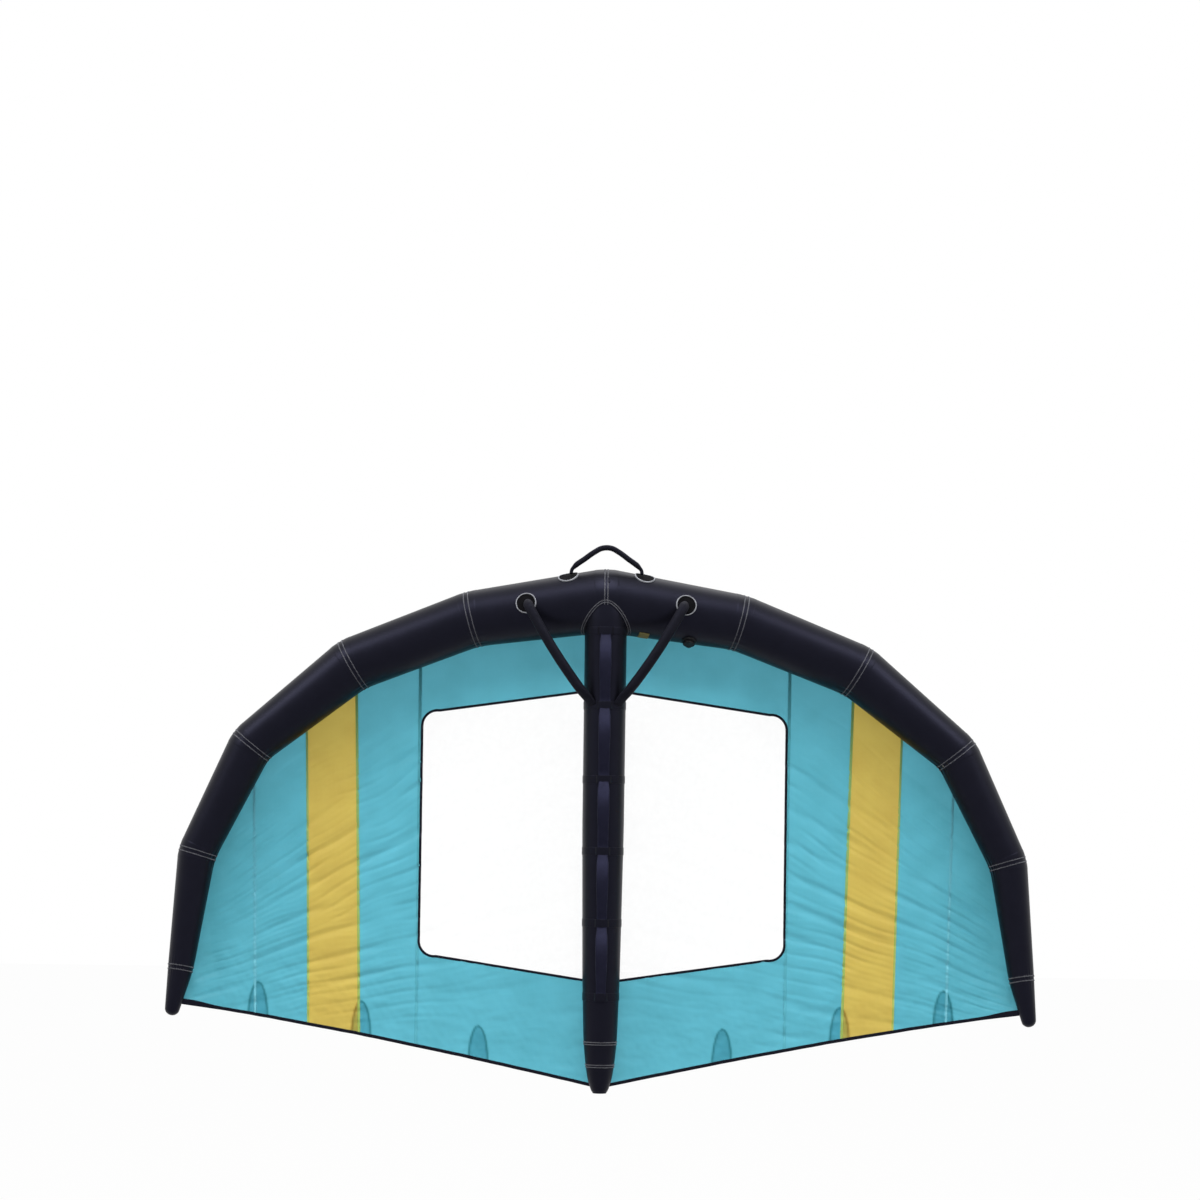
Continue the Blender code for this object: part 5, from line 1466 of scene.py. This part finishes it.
def make_valve_insert():
    """The screwed insert: a turned ring on the neck with a cross of two bars in its mouth."""
    neck, neck_height = VALVE_NECK
    bottom, top, lid = neck_height - 0.014, neck_height + VALVE_LIP, neck_height + 0.0003
    fit = VALVE_BORE - 0.0004
    loop = ((VALVE_SEAT, bottom), (VALVE_SEAT, top), (neck, top), (neck, lid), (fit, lid), (fit, bottom))
    parts = [turned(rounded(loop, 0.0004))]
    middle, reach = valve_spot(0.0, 0.0, bottom + 0.003), VALVE_SEAT + 0.001
    for way in (VALVE_ALONG, VALVE_BACK):
        side = np.cross(VALVE_OUT, way)
        parts.append(short_bar(middle - way * reach, middle + way * reach, side, VALVE_OUT, 0.0012, 0.0016))
    add_piece("valve_insert_moulding", *joined(parts), VALVE_NYLON, "valve_plastic", "valve_insert")


def make_valve_cap():
    """The hinged cap: a turned lid with a dished top, ribs round its skirt, a knuckle, a tongue and a pull tab."""
    radius, height = VALVE_CAP
    under = height - VALVE_CAP_TOP
    skirt, inner, dish = under - VALVE_CAP_DEPTH, radius - 0.0018, height - 0.0007
    parts = [turned(rounded((
        (0.0002, under), (inner, under), (inner, skirt), (radius, skirt), (radius, height - 0.0012),
        (radius - 0.0014, height), (radius - 0.0045, height), (radius - 0.0052, dish), (0.0002, dish),
    ), 0.0007), looped=False)]
    for angle in turns(36):
        ring = np.cos(angle) * VALVE_ALONG + np.sin(angle) * VALVE_BACK
        if ring @ VALVE_BACK <= 0.93:
            ends = [VALVE_PLACE + ring * radius + VALVE_OUT * out for out in (skirt + 0.0008, height - 0.0018)]
            parts.append(short_bar(*ends, np.cross(VALVE_OUT, ring), ring, 0.0007, 0.0005))
    parts.append(hinge_bar(VALVE_KNUCKLE[1] / 2 - 0.001, VALVE_KNUCKLE[0], fullness=1.0, around=24, ends=0.4))
    tongue = [valve_spot(0.0, back, height - 0.0014) for back in (radius - 0.002, VALVE_HINGE_REACH)]
    parts.append(short_bar(*tongue, VALVE_ALONG, VALVE_OUT, 0.0040, 0.0010))
    tab = [valve_spot(0.0, back, under) for back in (0.001 - radius, -0.0045 - radius)]
    parts.append(short_bar(*tab, VALVE_ALONG, VALVE_OUT, 0.0048, 0.0009))
    add_piece("valve_cap_moulding", *joined(parts), VALVE_NYLON, "valve_plastic", "valve_cap", body="valve_cap")


# ---------------------------------------------------------------- floor, lights and camera
# Metres to a pixel of the photograph, whose middle lies this far across and down the wing's own place in it
PIXEL = 0.00385
IMAGE = 1200
CENTER_PIXEL = (603.0, 568.0)
AIM = np.array((0.0, -0.04, -1.02))
CAMERA_DISTANCE = 13.0
ROLL = math.radians(0.8)
FLOOR_DROP = 3.2
FLOOR_SIZE = 40.0
WHITE = (1.0, 1.0, 1.0, 1.0)


def white_where_seen(tree, surface, glow, share, into):
    """Mixes a share of plain white into a surface for rays from the camera, from gloss and through glass."""
    path = tree.nodes.new("ShaderNodeLightPath").outputs
    seen = {0: path["Is Camera Ray"], 1: path["Is Glossy Ray"]}
    seen = {0: add_node(tree, "ShaderNodeMath", seen, operation="MAXIMUM"), 1: path["Is Transmission Ray"]}
    seen = add_node(tree, "ShaderNodeMath", seen, operation="MAXIMUM")
    amount = add_node(tree, "ShaderNodeMath", {0: seen, 1: share}, operation="MULTIPLY")
    white = add_node(tree, glow, {"Color": WHITE, "Strength": 1.0})
    add_node(tree, "ShaderNodeMixShader", {0: amount, 1: surface, 2: white}, into=into)


def make_stage():
    """A wide pale floor well below the tail, white to the camera, that still keeps a trace of shadow."""
    made, tree, shader = new_finish(
        "pale_floor", Roughness=0.9, Specular_IOR_Level=0.1, Base_Color=linear("#b8b7b5"),
    )
    surface = tree.nodes["Material Output"].inputs["Surface"]
    white_where_seen(tree, shader.outputs[0], "ShaderNodeEmission", 0.97, surface)
    corners = [(x * FLOOR_SIZE, y * FLOOR_SIZE, -FLOOR_DROP) for x, y in ((-1, -1), (1, -1), (1, 1), (-1, 1))]
    mesh = bpy.data.meshes.new("floor")
    mesh.from_pydata(corners, [], [(0, 1, 2, 3)])
    mesh.materials.append(made)
    add_object("floor", mesh)


def aim(thing, place, target, roll=0.0):
    """Puts a lamp or camera at a place and turns its -Z to the target, its +Y up, rolled about its view."""
    back = unit(place - target)
    right = unit(np.cross(Z, back))
    up = np.cross(back, right)
    matrix = np.eye(4)
    matrix[:3, 0] = right * math.cos(roll) + up * math.sin(roll)
    matrix[:3, 1] = up * math.cos(roll) - right * math.sin(roll)
    matrix[:3, 2], matrix[:3, 3] = back, place
    thing.matrix_world = Matrix(matrix.tolist())


def make_lights():
    """A key from above in front with a weaker one on each side, as a bright sky, one behind, and a white world.

    For diffuse light the world is brighter behind the wing, so that the cloth glows as it does outdoors.
    """
    lamps = (
        ("key", (0.0, -4.2, 7.2), 5.5, 640), ("side_left", (-6.4, -3.6, 5.2), 4.5, 385),
        ("side_right", (6.4, -3.6, 5.2), 4.5, 360), ("back", (0.8, 5.5, 7.5), 7.0, 120),
    )
    for name, place, size, power in lamps:
        lamp = bpy.data.lights.new(name, "AREA")
        lamp.shape, lamp.size, lamp.energy = "DISK", size, power
        aim(add_object(name, lamp), np.array(place), AIM)
    world = bpy.data.worlds.new("studio")
    bpy.context.scene.world = world
    world.use_nodes = True
    tree = world.node_tree
    light = tree.nodes["Background"]
    light.inputs["Color"].default_value = WHITE
    place = add_node(tree, "ShaderNodeTexCoord", out="Generated")
    place = add_node(tree, "ShaderNodeSeparateXYZ", {0: place}, out="Y")
    place = {"Value": place, "From Min": -1.0, "From Max": 1.0, "To Min": 0.42, "To Max": 1.22}
    add_node(tree, "ShaderNodeMapRange", place, into=light.inputs["Strength"])
    surface = tree.nodes["World Output"].inputs["Surface"]
    white_where_seen(tree, light.outputs[0], "ShaderNodeBackground", 1.0, surface)


def make_camera():
    """A long view straight at the underside, level, framed as the photograph's lower wing is."""
    camera = bpy.data.cameras.new("camera")
    view = IMAGE * PIXEL
    camera.sensor_fit = "HORIZONTAL"
    camera.sensor_width = 36.0
    camera.lens = camera.sensor_width * CAMERA_DISTANCE / view
    camera.clip_end = 200.0
    camera.shift_x = (IMAGE / 2 - CENTER_PIXEL[0]) * PIXEL / view
    camera.shift_y = ((CENTER_PIXEL[1] - IMAGE / 2) * PIXEL - AIM[2]) / view
    made = add_object("camera", camera)
    aim(made, AIM - Y * CAMERA_DISTANCE, AIM, roll=ROLL)
    bpy.context.scene.camera = made


for make in (
    make_le_panels, make_le_tips, make_le_bands, make_le_stitches, make_le_trims, make_le_bladder, make_strut,
    make_root_stitches, make_strut_tail, make_tail_stitches, make_strut_bladder, make_hoops, make_strip, make_loops,
    make_center_panel, make_panels, make_hem, make_patches, make_seams, make_bindings, make_top_tapes,
    make_center_patch, make_eyelets, make_front_handle, make_v_handles, make_valve_base, make_valve_insert,
    make_valve_cap, make_stage, make_lights, make_camera,
):
    make()
scene = bpy.context.scene
scene.view_settings.view_transform = "Standard"
